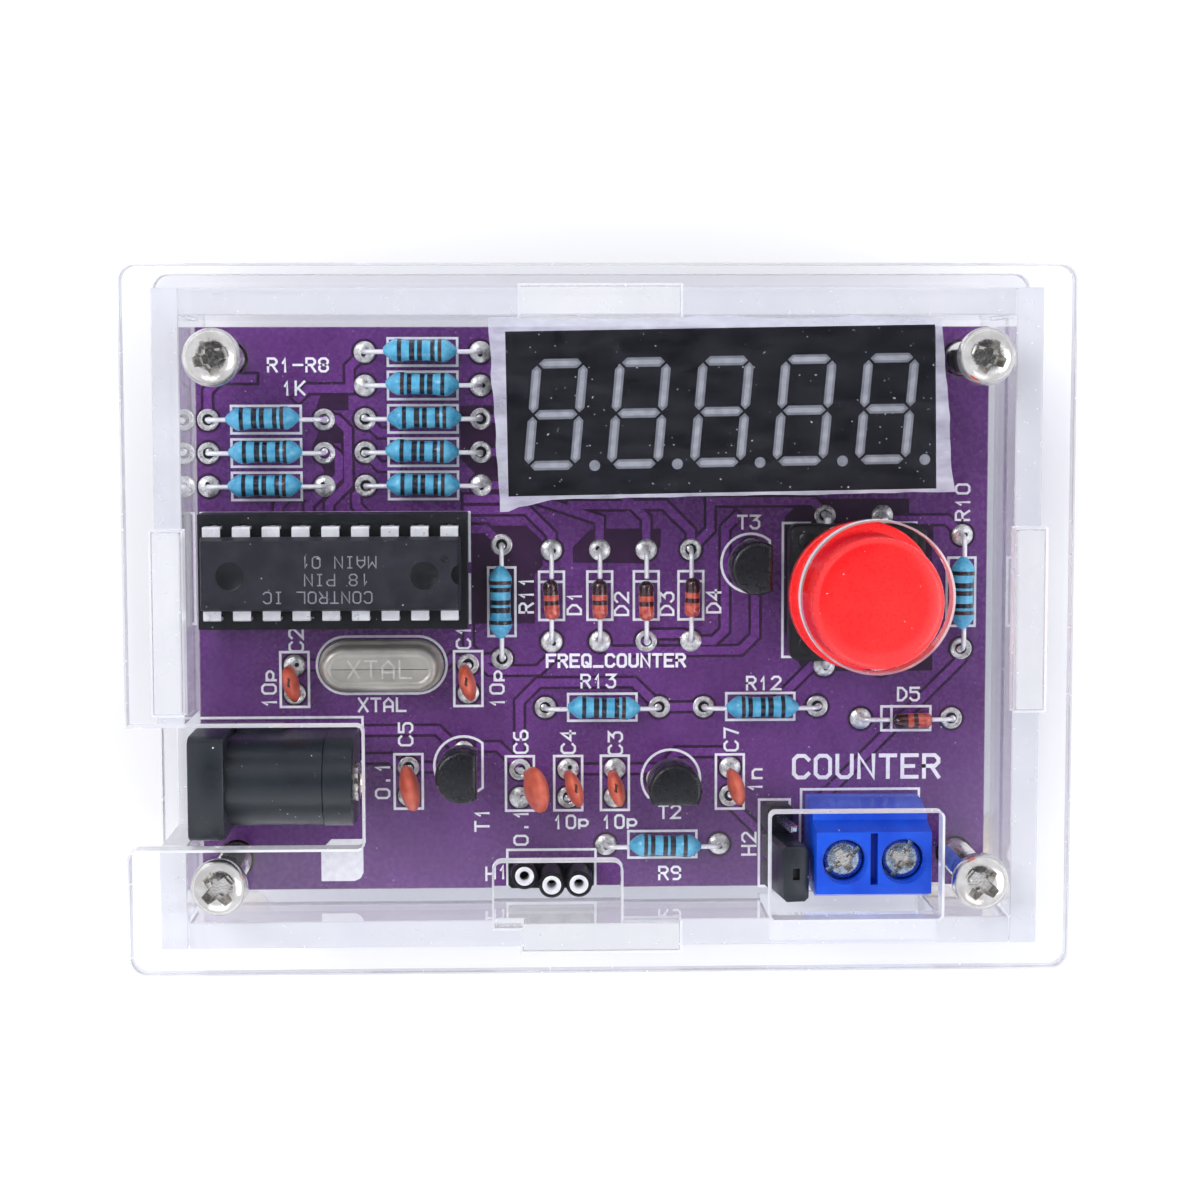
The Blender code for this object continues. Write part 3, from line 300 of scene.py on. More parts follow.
def rounded(width, depth, radius, steps=6):
    points = []
    for quarter, (sx, sy) in enumerate(((1, 1), (-1, 1), (-1, -1), (1, -1))):
        for k in range(steps + 1):
            angle = math.pi / 2 * (quarter + k / steps)
            points.append((sx * (width / 2 - radius) + radius * math.cos(angle),
                           sy * (depth / 2 - radius) + radius * math.sin(angle)))
    return points


def circle(radius, sides, x=0.0, y=0.0):
    steps = [2 * math.pi * k / sides for k in range(sides)]
    return [(x + radius * math.cos(a), y + radius * math.sin(a)) for a in steps]


def octagon(out_x, in_x, out_y, in_y):
    """A rectangle with its corners cut off."""
    return [(-out_x, -in_y), (-in_x, -out_y), (in_x, -out_y), (out_x, -in_y), (out_x, in_y), (in_x, out_y),
            (-in_x, out_y), (-out_x, in_y)]


def routes(text):
    """Lines of points, each point written as x,y."""
    return [[tuple(float(value) for value in point.split(",")) for point in line.split()]
            for line in text.strip().splitlines()]


class Piece:
    """Closed shapes gathered into one mesh, each face in the finish last chosen."""

    def __init__(self, finish):
        self.bm = bmesh.new()
        self.finishes = [finish]
        self.current = 0
        self.strips = 0

    def paint(self, finish):
        if finish not in self.finishes:
            self.finishes.append(finish)
        self.current = self.finishes.index(finish)
        return self

    def face(self, corners):
        made = self.bm.faces.new(corners)
        made.material_index = self.current
        return made

    def ring(self, points, place):
        return [self.bm.verts.new(place @ Vector(p)) for p in points]

    def skin(self, rings, cap=True):
        for first, second in zip(rings, rings[1:]):
            if len(first) == 1 or len(second) == 1:
                one, many = (first, second) if len(first) == 1 else (second, first)
                for i in range(len(many)):
                    self.face((one[0], many[i], many[(i + 1) % len(many)]))
                continue
            for i in range(len(first)):
                j = (i + 1) % len(first)
                self.face((first[i], first[j], second[j], second[i]))
        if cap:
            for end in (rings[0], rings[-1]):
                if len(end) > 2:
                    self.face(end)

    def prism(self, outline, low, high, place=UPRIGHT, round_top=0.0, round_low=0.0, steps=2):
        """An outline extruded from low to high, with rounded rims."""
        levels = []
        for k in range(steps + 1 if round_low else 1):
            angle = math.pi / 2 * (1 - k / steps) if round_low else 0
            levels.append((round_low * (1 - math.cos(angle)), low + round_low * (1 - math.sin(angle))))
        for k in range(steps + 1 if round_top else 1):
            angle = math.pi / 2 * k / steps if round_top else 0
            levels.append((round_top * (1 - math.cos(angle)), high - round_top * (1 - math.sin(angle))))
        return self.stack(outline, levels, place)

    def stack(self, outline, levels, place):
        """An outline drawn in by a distance at each height, from (distance, height) levels."""
        self.skin([self.ring([(x, y, z) for x, y in inset(outline, away)], place) for away, z in levels])
        return self

    def box(self, low, high, place=UPRIGHT, edge=0.0):
        size = [high[i] - low[i] for i in range(3)]
        outline = rectangle(size[0], size[1], (low[0] + high[0]) / 2, (low[1] + high[1]) / 2)
        return self.prism(outline, low[2], high[2], place, edge, edge, 1)

    def lathe(self, profile, sides, place=UPRIGHT):
        """A turned solid from (radius, z) points, one end to the other."""
        rings = []
        for radius, z in profile:
            if radius == 0:
                rings.append(self.ring([(0, 0, z)], place))
                continue
            rings.append(self.ring([(x, y, z) for x, y in circle(radius, sides)], place))
        self.skin(rings)
        return self

    def pipe(self, profile, sides, place=UPRIGHT):
        """A turned ring: the (radius, z) profile goes round and closes on itself."""
        rings = [self.ring([(r * x, r * y, z) for r, z in profile], place) for x, y in circle(1, sides)]
        rings.append(rings[0])
        self.skin(rings, cap=False)
        return self

    def tube(self, path, radius, sides=10, place=UPRIGHT):
        """A round bar along a path, with slightly rounded ends."""
        line = [Vector(p) for p in path]
        up = Vector((0.123, 0.987, 0.1)).normalized()
        rings = []
        for i, point in enumerate(line):
            along = (line[min(i + 1, len(line) - 1)] - line[max(i - 1, 0)]).normalized()
            side = along.cross(up).normalized()
            other = side.cross(along).normalized()
            up = other
            size = radius(i) if callable(radius) else radius
            if i == 0:
                stages = ((0.6, 0.0), (1.0, 0.4))
            elif i == len(line) - 1:
                stages = ((1.0, -0.4), (0.6, 0.0))
            else:
                stages = ((1.0, 0.0),)
            for share, slide in stages:
                centre = point + along * (size * slide)
                rings.append(self.ring([centre + (side * x + other * y) * size * share
                                        for x, y in circle(1, sides)], place))
        self.skin(rings)
        return self

    def ribbon(self, path, width, low, high, place=UPRIGHT, closed=False):
        """A flat strip along a line, with mitred corners. Each lies a hair above the last."""
        self.strips = (self.strips + 1) % 9
        high += 0.0012 * self.strips
        line = [Vector(p) for p in path]
        count = len(line)
        half = width / 2
        left, right = [], []
        for i, here in enumerate(line):
            before = line[i - 1] if (closed or i) else None
            after = line[(i + 1) % count] if (closed or i < count - 1) else None
            into = (here - before).normalized() if before is not None else None
            out = (after - here).normalized() if after is not None else None
            point = here.copy()
            if into is None:
                into = out
                point -= out * half
            if out is None:
                out = into
                point += into * half
            normal = Vector((-into.y, into.x)) + Vector((-out.y, out.x))
            offset = normal * (2 * half / max(normal.length_squared, 0.6))
            left.append(point + offset)
            right.append(point - offset)

        def rows(side, z):
            return self.ring([(p.x, p.y, z) for p in side], place)

        corners = [rows(left, low), rows(right, low), rows(right, high), rows(left, high)]
        sections = [list(c) for c in zip(*corners)]
        if closed:
            sections.append(sections[0])
        self.skin(sections, cap=not closed)
        return self

    def sheet(self, loops, low, high, place=UPRIGHT, chamfer=0.1):
        """A flat sheet with holes: the first loop is its outline, the rest are holes."""
        rims = {0: [], -1: []}
        self.paint(CUT_EDGE)
        for number, loop in enumerate(loops):
            away = -chamfer if number else chamfer
            levels = ((away, low), (0, low + chamfer), (0, high - chamfer), (away, high))
            rings = [self.ring([(x, y, z) for x, y in inset(loop, d)], place) for d, z in levels]
            self.skin(rings, cap=False)
            for end, rim in rims.items():
                ring = rings[end]
                rim += [self.bm.edges.get((ring[i - 1], ring[i])) for i in range(len(ring))]
        for rim in rims.values():
            filled = bmesh.ops.triangle_fill(self.bm, use_beauty=True, use_dissolve=False, edges=rim)
            for made in filled["geom"]:
                if isinstance(made, bmesh.types.BMFace):
                    made.material_index = 0
        return self

    def make(self, name, body, slot, *replaced, sharp=SHARP):
        bmesh.ops.recalc_face_normals(self.bm, faces=self.bm.faces)
        self.bm.transform(Matrix.Scale(MM, 4))
        mesh = bpy.data.meshes.new(name)
        self.bm.to_mesh(mesh)
        self.bm.free()
        for finish in self.finishes:
            mesh.materials.append(finish)
        mesh.shade_smooth()
        mesh.set_sharp_from_angle(angle=sharp)
        made = add_object(name, mesh)
        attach(made, body)
        if replaced:
            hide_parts(*replaced)
        return made

    def stand_for(self, node, slot, body="case", sharp=SHARP):
        """Finishes the piece that shows in place of a CAD node."""
        return self.make(node + "_shown", body, slot, node, sharp=sharp)

    def cut(self, cutter):
        """Takes another piece's volume away from this one."""
        solids = []
        for part in (self, cutter):
            bmesh.ops.recalc_face_normals(part.bm, faces=part.bm.faces)
            mesh = bpy.data.meshes.new("solid")
            part.bm.to_mesh(mesh)
            part.bm.free()
            for finish in part.finishes:
                mesh.materials.append(finish)
            solids.append(add_object("solid", mesh))
        carve = solids[0].modifiers.new("carve", "BOOLEAN")
        carve.operation = "DIFFERENCE"
        carve.solver = "EXACT"
        carve.material_mode = "TRANSFER"
        carve.use_self = True
        carve.object = solids[1]
        carved = solids[0].evaluated_get(bpy.context.evaluated_depsgraph_get())
        mesh = bpy.data.meshes.new_from_object(carved)
        self.bm = bmesh.new()
        self.bm.from_mesh(mesh)
        self.finishes = list(mesh.materials)
        self.current = 0
        for solid in solids:
            bpy.data.objects.remove(solid, do_unlink=True)
        return self


def cad_copy(node, finish, edge, body, slot, rim_finish=None):
    """A CAD node's own shape in a new piece, with its corners broken."""
    piece = Piece(finish)
    piece.bm.from_mesh(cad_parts[node].data)
    piece.bm.transform(Matrix.Scale(1 / MM, 4))
    bm = piece.bm
    for made in bm.faces:
        made.material_index = 0
    bmesh.ops.remove_doubles(bm, verts=bm.verts, dist=1e-4)
    bmesh.ops.dissolve_limit(bm, angle_limit=math.radians(1), verts=bm.verts, edges=bm.edges)
    bm.normal_update()
    corners = [e for e in bm.edges if len(e.link_faces) == 2 and e.calc_face_angle(0) > math.radians(40)]
    bmesh.ops.bevel(bm, geom=corners, offset=edge, segments=1, affect="EDGES", clamp_overlap=True)
    if rim_finish is not None:
        piece.finishes.append(rim_finish)
        bm.normal_update()
        for made in bm.faces:
            if abs(made.normal.z) < 0.95:
                made.material_index = 1
    piece.stand_for(node, slot, body, math.radians(30))


# --- case ----------------------------------------------------------------------------
def wall_outline(length, tab, has_fingers):
    """A wall's outline in length and height: tabs above and below, and fingers
    at its ends, or notches for them."""
    bottom = BASE_Z + SHEET + GAP
    top = LID_TOP - SHEET - GAP
    middle = (bottom + top) / 2
    half = length / 2
    step = SHEET if has_fingers else -SHEET - GAP
    reach = FINGER if has_fingers else FINGER + GAP
    low, high = middle - reach, middle + reach
    right = [(half, bottom), (half, low), (half + step, low), (half + step, high), (half, high), (half, top)]
    left = [(-x, z) for x, z in reversed(right)]
    tab_top = [(tab / 2, top), (tab / 2, LID_TOP), (-tab / 2, LID_TOP), (-tab / 2, top)]
    tab_low = [(-tab / 2, bottom), (-tab / 2, BASE_Z), (tab / 2, BASE_Z), (tab / 2, bottom)]
    return right + tab_top + left + tab_low


def window(x0, y0, x1, y1, radius=0.4):
    return [(x + (x0 + x1) / 2, y + (y0 + y1) / 2) for x, y in rounded(x1 - x0, y1 - y0, radius, 5)]


def make_panels():
    side_slots = [rectangle(SHEET + 2 * GAP, SIDE_TAB + 2 * GAP, side * SIDE_WALL_X) for side in BOTH]
    back_slot, front_slot = (rectangle(END_TAB + 2 * GAP, SHEET + 2 * GAP, 0, side * END_WALL_Y)
                             for side in (1, -1))
    screw_holes = [circle(1.6, 40, sx * CASE_SCREW[0], sy * CASE_SCREW[1]) for sx, sy in CORNERS]
    outline = rounded(80, 60, 1.5, 10)
    panel = Piece(SHADED_BASE_ACRYLIC)
    panel.sheet([outline, back_slot, front_slot] + side_slots + screw_holes, BASE_Z, BASE_Z + SHEET)
    panel.stand_for("bottom_panel", "clear_acrylic", sharp=SHARP_SHEET)

    back, front = JACK_NOTCH
    notch = [(-40, back), (-20.6, back), (-20.32, -8.92), (-20.2, -9.2), (-20.2, -18.8), (-20.32, -19.08),
             (-20.6, front), (-39.3, front), (-39.8, -19.4), (-40, -19.9)]
    back_corners = len(outline) // 2
    lid = outline[:back_corners] + notch + outline[back_corners:]
    # the header's window runs into the front slot
    header = window(-9.1, -26.1, 1.7, -20.5, 0.7)[:12]
    header += [(-9.1, -26.1), (-6.7, -26.1), (-6.7, -28.12), (6.7, -28.12), (6.7, -25.62), (1.7, -25.62)]
    left, right = TERMINAL_WINDOW
    terminal = window(left, -25.6, right, -16.45)
    button = circle(6.4, 96, 23.4, 1.95)
    panel = Piece(ACRYLIC)
    panel.sheet([lid, back_slot, header, terminal, button] + side_slots + screw_holes, LID_TOP - SHEET,
                LID_TOP, chamfer=0.18)
    panel.stand_for("top_panel", "clear_acrylic", sharp=SHARP_SHEET)


def make_walls():
    for name, side in (("back_wall", 1), ("front_wall", -1)):
        loops = [wall_outline(2 * (SIDE_WALL_X - SHEET / 2 - GAP), END_TAB, True)]
        if name == "front_wall":
            left, right = TERMINAL_WINDOW
            loops.append(window(left, BOARD_TOP - 0.5, right, BOARD_TOP + 8.4))
        wall = Piece(ACRYLIC).sheet(loops, -SHEET / 2, SHEET / 2, shift(0, side * END_WALL_Y) @ spin(90, "X"))
        wall.stand_for(name, "clear_acrylic", sharp=SHARP_SHEET)
    for name, side in (("left_wall", -1), ("right_wall", 1)):
        outline = wall_outline(2 * (END_WALL_Y + SHEET / 2), SIDE_TAB, False)
        if name == "left_wall":
            low, top = BOARD_TOP - 0.5, LID_TOP - SHEET - GAP
            back, front = JACK_NOTCH
            index = next(i for i, p in enumerate(outline) if p[1] > LID_TOP - 0.01 and p[0] < 0) + 2
            outline[index:index] = [(back, top), (back, low + 0.4), (back - 0.4, low),
                                    (front + 0.4, low), (front, low + 0.4), (front, top)]
        wall = Piece(ACRYLIC).sheet([outline], -SHEET / 2, SHEET / 2, shift(side * SIDE_WALL_X, 0) @ LIE_X)
        wall.stand_for(name, "clear_acrylic", sharp=SHARP_SHEET)


def thread(piece, place, outer, root, pitch, low, high, sides=20):
    """A screw thread from low to high about the piece's own Z."""
    levels = int(2 * (high - low) / pitch)
    grid = []
    for i in range(sides):
        column = []
        for j in range(levels + 1):
            radius = outer if j % 2 else root
            z = low + pitch * (j / 2 + i / sides)
            if z > high - pitch:
                radius = root
            if z < low + 0.8 * pitch:
                radius = min(radius, root + 0.05)
            angle = 2 * math.pi * i / sides
            point = place @ Vector((radius * math.cos(angle), radius * math.sin(angle), min(z, high)))
            column.append(piece.bm.verts.new(point))
        grid.append(column)
    for i in range(sides - 1):
        for j in range(levels):
            piece.face((grid[i][j], grid[i + 1][j], grid[i + 1][j + 1], grid[i][j + 1]))
    for j in range(levels - 2):
        piece.face((grid[-1][j], grid[0][j + 2], grid[0][j + 3], grid[-1][j + 1]))
    bottom = [column[0] for column in grid] + [grid[0][2], grid[0][1]]
    top = [column[levels] for column in grid] + [grid[-1][levels - 1], grid[-1][levels - 2]]
    for rim, z in ((bottom, low), (top, high)):
        middle = piece.bm.verts.new(place @ Vector((0, 0, z)))
        for i in range(len(rim)):
            piece.face((rim[i], rim[(i + 1) % len(rim)], middle))


def cross_cutter(place, arm, blade, low, high):
    """A tapered cross that cuts a screw's recess."""
    piece = Piece(NICKEL)
    rings = []
    for share, z in ((0.5, low), (0.68, low + 0.25), (1.0, high)):
        a, b = arm * share, blade * (0.55 + 0.45 * share)
        c = b * 1.35
        quarter = [(a, -b), (a, b), (c, c)]
        plus = [(spin(90 * k) @ Vector((x, y, 0))).to_2d() for k in range(4) for x, y in quarter]
        rings.append(piece.ring([(x, y, z) for x, y in plus], place))
    piece.skin(rings)
    return piece


def make_screws():
    head = [(0, 1.78), (1.2, 1.76), (1.7, 1.66), (2.05, 1.44), (2.3, 1.1), (2.42, 0.7), (2.45, 0.4),
            (2.42, 0.12), (2.3, 0.0), (1.2, 0.0), (1.2, -0.3), (0, -0.3)]
    for level, seat, flip, length, turns in (("top", LID_TOP + 0.2, 0, 16.0, (18, -24, 40, -38)),
                                             ("base", 1.8, 180, 5.8, (10, 33, -20, 5))):
        for number, turn in enumerate(turns, 1):
            node = f"{level}_screw_{number}"
            low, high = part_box(node)
            middle = (low + high) / 2 / MM
            place = shift(middle.x, middle.y, seat) @ spin(flip, "X") @ spin(turn)
            piece = Piece(NICKEL).lathe(head, 48, place)
            piece.cut(cross_cutter(place, 1.62, 0.42, 0.35, 2.2))
            thread(piece, place, 1.45, 1.1, 1.2, -length, -0.05)
            piece.stand_for(node, "nickel")


def make_standoffs():
    for number in (1, 2, 3, 4):
        node = f"standoff_{number}"
        low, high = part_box(node)
        middle = (low + high) / 2 / MM
        bottom, top = low.z / MM, high.z / MM
        place = shift(middle.x, middle.y)
        piece = Piece(BRASS).prism(circle(2.9, 6), bottom, top, place, 0.22, 0.22, 2)
        piece.cut(Piece(BRASS).lathe([(1.6, top + 1), (1.6, bottom - 1)], 24, place))
        piece.stand_for(node, "brass")


# --- board ---------------------------------------------------------------------------
# each part's number, middle and turn
RESISTORS = {row + 1: (-15.08, 11.08 + (4 - row) * 2.93, 0) for row in range(5)}
RESISTORS.update({row + 6: (-28.85, 11.04 + (2 - row) * 2.93, 0) for row in range(3)})
RESISTORS.update({9: (6.05, -21.13, 0), 10: (32.76, 1.46, 90), 11: (-8.22, 0.74, 90),
                  12: (14.8, -8.74, 0), 13: (0.68, -8.73, 0)})
DIODES = {1: (-3.81, 1.25, 90), 2: (0.47, 1.25, 90), 3: (4.6, 1.25, 90), 4: (8.57, 1.25, 90),
          5: (27.87, -9.88, 180)}
# middle, radius, turn and lean
CAPACITORS = {1: (-11.24, -6.1, 1.8, 14, 0), 2: (-26.62, -6.1, 1.8, 14, 0), 3: (1.79, -15.55, 1.8, 14, 0),
              4: (-2.38, -15.55, 1.8, 16, 8), 5: (-16.61, -15.3, 2.3, 10, 4),
              6: (-6.69, -15.55, 2.3, 8, 22), 7: (12.09, -15.5, 1.8, 14, 5)}
# middle and turn
TRANSISTORS = {1: (-11.7, -13.9, 0), 2: (6.8, -15.2, -90), 3: (13.9, 4.1, 0)}
CHIP_AT = (-22.8, 3.79)
CRYSTAL_AT = (-18.9, -4.85)
SWITCH_AT = (23.1, 1.65)
JACK_Y = -14.3
TERMINAL_X = 23.8
TERMINAL_SCREW_Y = -21.05
SOCKETS_AT = (-3.95, -23.45)
PINS_AT = (16.1, -21.08)
RESISTOR_SPAN = 2 * PITCH          # half the distance between the two leads
DIODE_SPAN = 4.08
CAPACITOR_SPAN = PITCH / 2
CHIP_ROW = 1.5 * PITCH             # from the middle to a row of pins
DISPLAY_AT = (10.69, 17.7)
DISPLAY_TURN = 0.9                 # it sits slightly askew
DISPLAY_HALF_X = 18.35
DISPLAY_HALF_Y = 7.0
DISPLAY_ROW = 5.9
DIGIT_STEP = 7.08


def step_from(x, y, turn, distance):
    angle = math.radians(turn)
    return (x + distance * math.cos(angle), y + distance * math.sin(angle))


def open_joints():
    """Soldered holes that show from above."""
    found = []
    for parts, span in ((RESISTORS, RESISTOR_SPAN), (DIODES, DIODE_SPAN)):
        for x, y, turn in parts.values():
            found += [step_from(x, y, turn, span), step_from(x, y, turn, -span)]
    for x, y, *_ in CAPACITORS.values():
        found += [(x, y + CAPACITOR_SPAN), (x, y - CAPACITOR_SPAN)]
    for x, y, turn in TRANSISTORS.values():
        found += [step_from(x, y, turn + 90, k * PITCH / 2) for k in (-1, 0, 1)]
    return found + [(20.5, 8.3), (25.6, 8.3), (20.5, -5.1), (25.6, -5.1)]


def pins(count):
    """Places in a row of pins, from its middle."""
    return [(i - (count - 1) / 2) * PITCH for i in range(count)]


def hidden_joints():
    """Soldered holes under the parts, which show only from below."""
    found = []
    for (x, y), across, rows in (
            (CHIP_AT, pins(9), (-CHIP_ROW, CHIP_ROW)),
            (CRYSTAL_AT, (-2.44, 2.44), (0,)),
            (DISPLAY_AT, pins(7), (-DISPLAY_ROW, DISPLAY_ROW)),
            ((TERMINAL_X, TERMINAL_SCREW_Y), (-PITCH, PITCH), (0,)),
            (PINS_AT, (0,), pins(3)),
            (SOCKETS_AT, pins(3), (0,))):
        found += [(x + dx, y + dy) for dx in across for dy in rows]
    return found + [(-22.5, JACK_Y), (-28.4, JACK_Y), (-25.4, -10.2)]


def solder_above(piece, x, y):
    """A pad seen from above: some are domed over the lead, the others are open rings."""
    radius = 0.95
    place = on_board(x, y) @ spin((x * 37 + y * 91) % 360)
    domed = (x * 12.9 + y * 7.8) % 1 > 0.4
    piece.paint(SOLDER)
    if domed:
        piece.lathe([(radius, -0.02), (radius, 0.06), (radius * 0.93, 0.12), (radius * 0.75, 0.2),
                     (radius * 0.5, 0.26), (0.3, 0.3), (0, 0.3)], 28, place)
        # A small dark disc on the dome: painted shade for the dark hollow at the lead.
        piece.paint(PIT_SHADE_BLACK).lathe([(0.2, 0.2), (0.2, 0.32), (0, 0.325)], 12, place @ shift(0.24, 0))
        return
    piece.pipe([(0.5, -0.02), (radius, -0.02), (radius, 0.06), (radius * 0.9, 0.12), (0.66, 0.1),
                (0.52, 0.05), (0.5, 0.035)], 28, place)
    # A dark disc fills the ring's middle: painted shade standing in for the hole's depth.
    piece.paint(PIT_SHADE_BLACK).lathe([(0.52, -0.02), (0.52, 0.035), (0, 0.035)], 20, place)
    piece.paint(SOLDER).lathe([(0.3, 0.0), (0.3, 0.12), (0.16, 0.2), (0, 0.22)], 16, place @ shift(0.08, 0.1))


def solder_below(piece, x, y):
    """A joint under the board: a cone that narrows to the lead's end."""
    radius = 0.92
    place = shift(x + BOARD_SHIFT, y, BOARD_LOW) @ spin(180, "X")
    piece.lathe([(radius, -0.02), (radius, 0.06), (radius * 0.85, 0.3), (radius * 0.52, 0.75),
                 (0.36, 1.15), (0.27, 1.3), (0.27, 1.75), (0.17, 1.85), (0, 1.85)], 16, place)


def make_board():
    cad_copy("circuit_board", MASK, 0.08, "case", "board_purple", LAMINATE)
    for name, add_joint, holes in (("solder_above", solder_above, open_joints()),
                                   ("solder_below", solder_below, open_joints() + hidden_joints())):
        piece = Piece(SOLDER)
        for x, y in holes:
            add_joint(piece, x, y)
        piece.make(name, "case", "nickel")


# right resistor bank to the display
TRACES = routes("""
-10,22.8 -6.5,22.8 -4.5,20.8 -2,20.8
-10,19.87 -7.5,19.87 -6,18.4 -2,18.4
-10,16.94 -7.6,16.94 -6.8,16.1 -2,16.1
-10,14 -8,14 -7.2,13.2 -2,13.2
-10,11.08 -7.5,11.08 -6.6,11.98 -2,11.98
""")
# between the two banks
TRACES += routes("""
-23.78,16.9 -22.6,16.9 -21.7,16 -21.7,11.2 -23.4,9.5 -23.4,8.2
-23.78,14 -22.9,14 -22.5,13.6 -22.5,11.9 -25.2,9.4 -25.2,8.2
-23.78,11.04 -24.6,10.2 -27,10.2 -27.9,9.3 -27.9,8.2
-20.15,22.8 -21.5,21.5 -21.5,19.6 -25.2,19.6 -26,18.8
-33.93,16.9 -33.93,19.4 -32.8,20.5 -30,20.5
-20.15,11.08 -21,10.2 -21,9.3 -19.9,8.2
-20.15,14 -18.9,12.75 -17.5,12.75
-20.15,16.94 -18.9,15.7 -17.5,15.7
""")
# chip to the diodes and on to the right
TRACES += routes("""
-11.2,8.9 -6,8.9 -4.4,7.3 -3.81,6.7 -3.81,5.33
-11.2,9.9 -5.3,9.9 0.47,8 0.47,5.33
-6,10.7 2,10.7 4.6,8.1 4.6,5.33
-2,9.3 6.2,9.3 8.57,6.95 8.57,5.33
8.57,5.33 10.3,7.1 10.3,9.6 19.4,9.6 20.5,8.5
-8.22,5.82 -9.6,7.2 -10.9,7.2
-8.22,-4.34 -10.2,-4.34 -11.2,-3.3 -11.2,-1.2 -12.4,0
-3.81,-2.83 -3.81,-4.2 -5,-5.4 -9.3,-5.4 -10,-4.8
0.47,-2.83 1.4,-3.7 13,-3.7 14.3,-2.4 14.3,1
4.6,-2.83 5.2,-2.2 7.9,-2.2 8.57,-2.83
8.57,-2.83 10.6,-2.83 11.6,-1.9 11.6,7.2 12.6,8.2
32.76,6.54 31.4,7.9 26,7.9
""")
# middle rows
TRACES += routes("""
-26.62,-4.83 -24.2,-4.83 -23.4,-4 -21.6,-4
-16.4,-4.85 -13.4,-4.85 -12.6,-4.2 -11.24,-4.83
5.76,-8.73 9.72,-8.73
5.76,-8.73 3.5,-6.5 -5,-6.5 -6.7,-8.2 -6.7,-14.28
-22,-10.7 -14,-10.7 -12.1,-12.6
-21,-13.2 -18.2,-13.2 -17.4,-14.03 -13,-14.03
-10.2,-12.2 -8.6,-12.2 -7,-13.8
-2.38,-14.28 5.2,-14.28
6.8,-15.2 6.8,-13.4 7.4,-12.8 11.2,-12.8 12.09,-13.7 12.09,-14.23
12.09,-16.77 12.09,-17.4 14.4,-19.7
20.5,-5.1 19.4,-5.1 16,-8.5
32.76,-3.62 32.76,-4.6 19.8,-17.6
""")
# areas without copper
BARE = routes("""
-24.7,17.2 -24,19.2 -21.6,19.2 -21.6,17.7 -24,17.7
-24.9,14.4 -24,16.4 -21.6,16.4 -21.6,14.8 -24,14.8
-24.2,13.3 -21.6,13.3 -21.6,11.8 -23.6,11.8
-11.8,18.1 -7.5,18.1 -7.5,9.4 -9.3,9.4 -10.3,10.4 -10.3,11.9 -11.8,13.4
-10.9,7.5 -6,7.5 -4.6,6.1 -4.6,3.9 -5.3,3.2 -5.3,-1.2 -10.9,-1.2
-1.9,4.2 -1.9,5.6 -0.3,7.2 5.9,7.2 5.9,5.6 4.4,4.1
16.9,-2 16.9,8.2 18.6,9.8 28,9.8 28,7.9 30.2,7.9 30.2,-5.6 18.6,-5.6
""")


def make_traces():
    """Copper that shows through the mask: each track lies between darker gaps."""
    place = on_board(0, 0)
    piece = Piece(MASK_GAP)
    for outline in BARE:
        piece.prism(outline, -0.01, 0.01, place)
    for line in TRACES:
        piece.ribbon(line, 1.2, -0.01, 0.012, place)
    for x, y in open_joints():
        piece.lathe([(1.16, -0.01), (1.16, 0.026), (0, 0.026)], 28, on_board(x, y))
    piece.paint(MASK_TRACE)
    for line in TRACES:
        piece.ribbon(line, 0.72, 0.0, 0.028, place)
    piece.make("board_traces", "case", "board_purple")


# --- silk print ------------------------------------------------------------------------
# strokes through a grid of 4 by 6, as column and row
GLYPHS = {
    "0": "10 01 05 16 36 45 41 30 10", "1": "14 26 20", "2": "05 16 36 45 44 00 40",
    "3": "06 46 24 34 43 41 30 10 01", "4": "30 36 02 42", "5": "46 06 04 34 43 41 30 10 01",
    "6": "36 16 05 01 10 30 41 42 33 03", "7": "06 46 20",
    "8": "13 04 05 16 36 45 44 33 13 02 01 10 30 41 42 33", "9": "10 30 41 45 36 16 05 04 13 43",
    "A": "00 04 26 44 40|02 42", "C": "45 36 16 05 01 10 30 41", "D": "00 06 26 44 42 20 00",
    "E": "46 06 00 40|03 33", "F": "46 06 00|03 33", "H": "00 06|40 46|03 43", "I": "20 26|10 30|16 36",
    "K": "00 06|46 02|13 40", "L": "06 00 40", "M": "00 06 23 46 40", "N": "00 06 40 46",
    "O": "10 01 05 16 36 45 41 30 10", "P": "00 06 36 45 44 33 03", "Q": "10 01 05 16 36 45 41 30 10|22 40",
    "R": "00 06 36 45 44 33 03|23 40", "T": "06 46|20 26", "U": "06 01 10 30 41 46", "X": "00 46|06 40",
    "n": "00 04|03 14 34 43 40", "p": "04 00|03 14 34 43 42 31 11 02", " ": "", "-": "03 43", ".": "20 21",
    "_": "00 40",
}
SILK_LOW, SILK_TOP = -0.005, 0.045     # from just under the board's face


def write(piece, text, x, y, height, turn, pen, place=None, thick=0.05):
    """Stroke letters centred on x and y."""
    unit = height / 6
    length = (6 * len(text) - 2) * unit
    here = (place or on_board(0, 0)) @ shift(x, y) @ spin(turn) @ shift(-length / 2, -height / 2)
    for number, letter in enumerate(text):
        for stroke in filter(None, GLYPHS[letter].split("|")):
            path = [((int(p[0]) + 6 * number) * unit, int(p[1]) * unit) for p in stroke.split()]
            closed = path[0] == path[-1]
            piece.ribbon(path[:-1] if closed else path, pen, SILK_LOW, thick, here, closed)


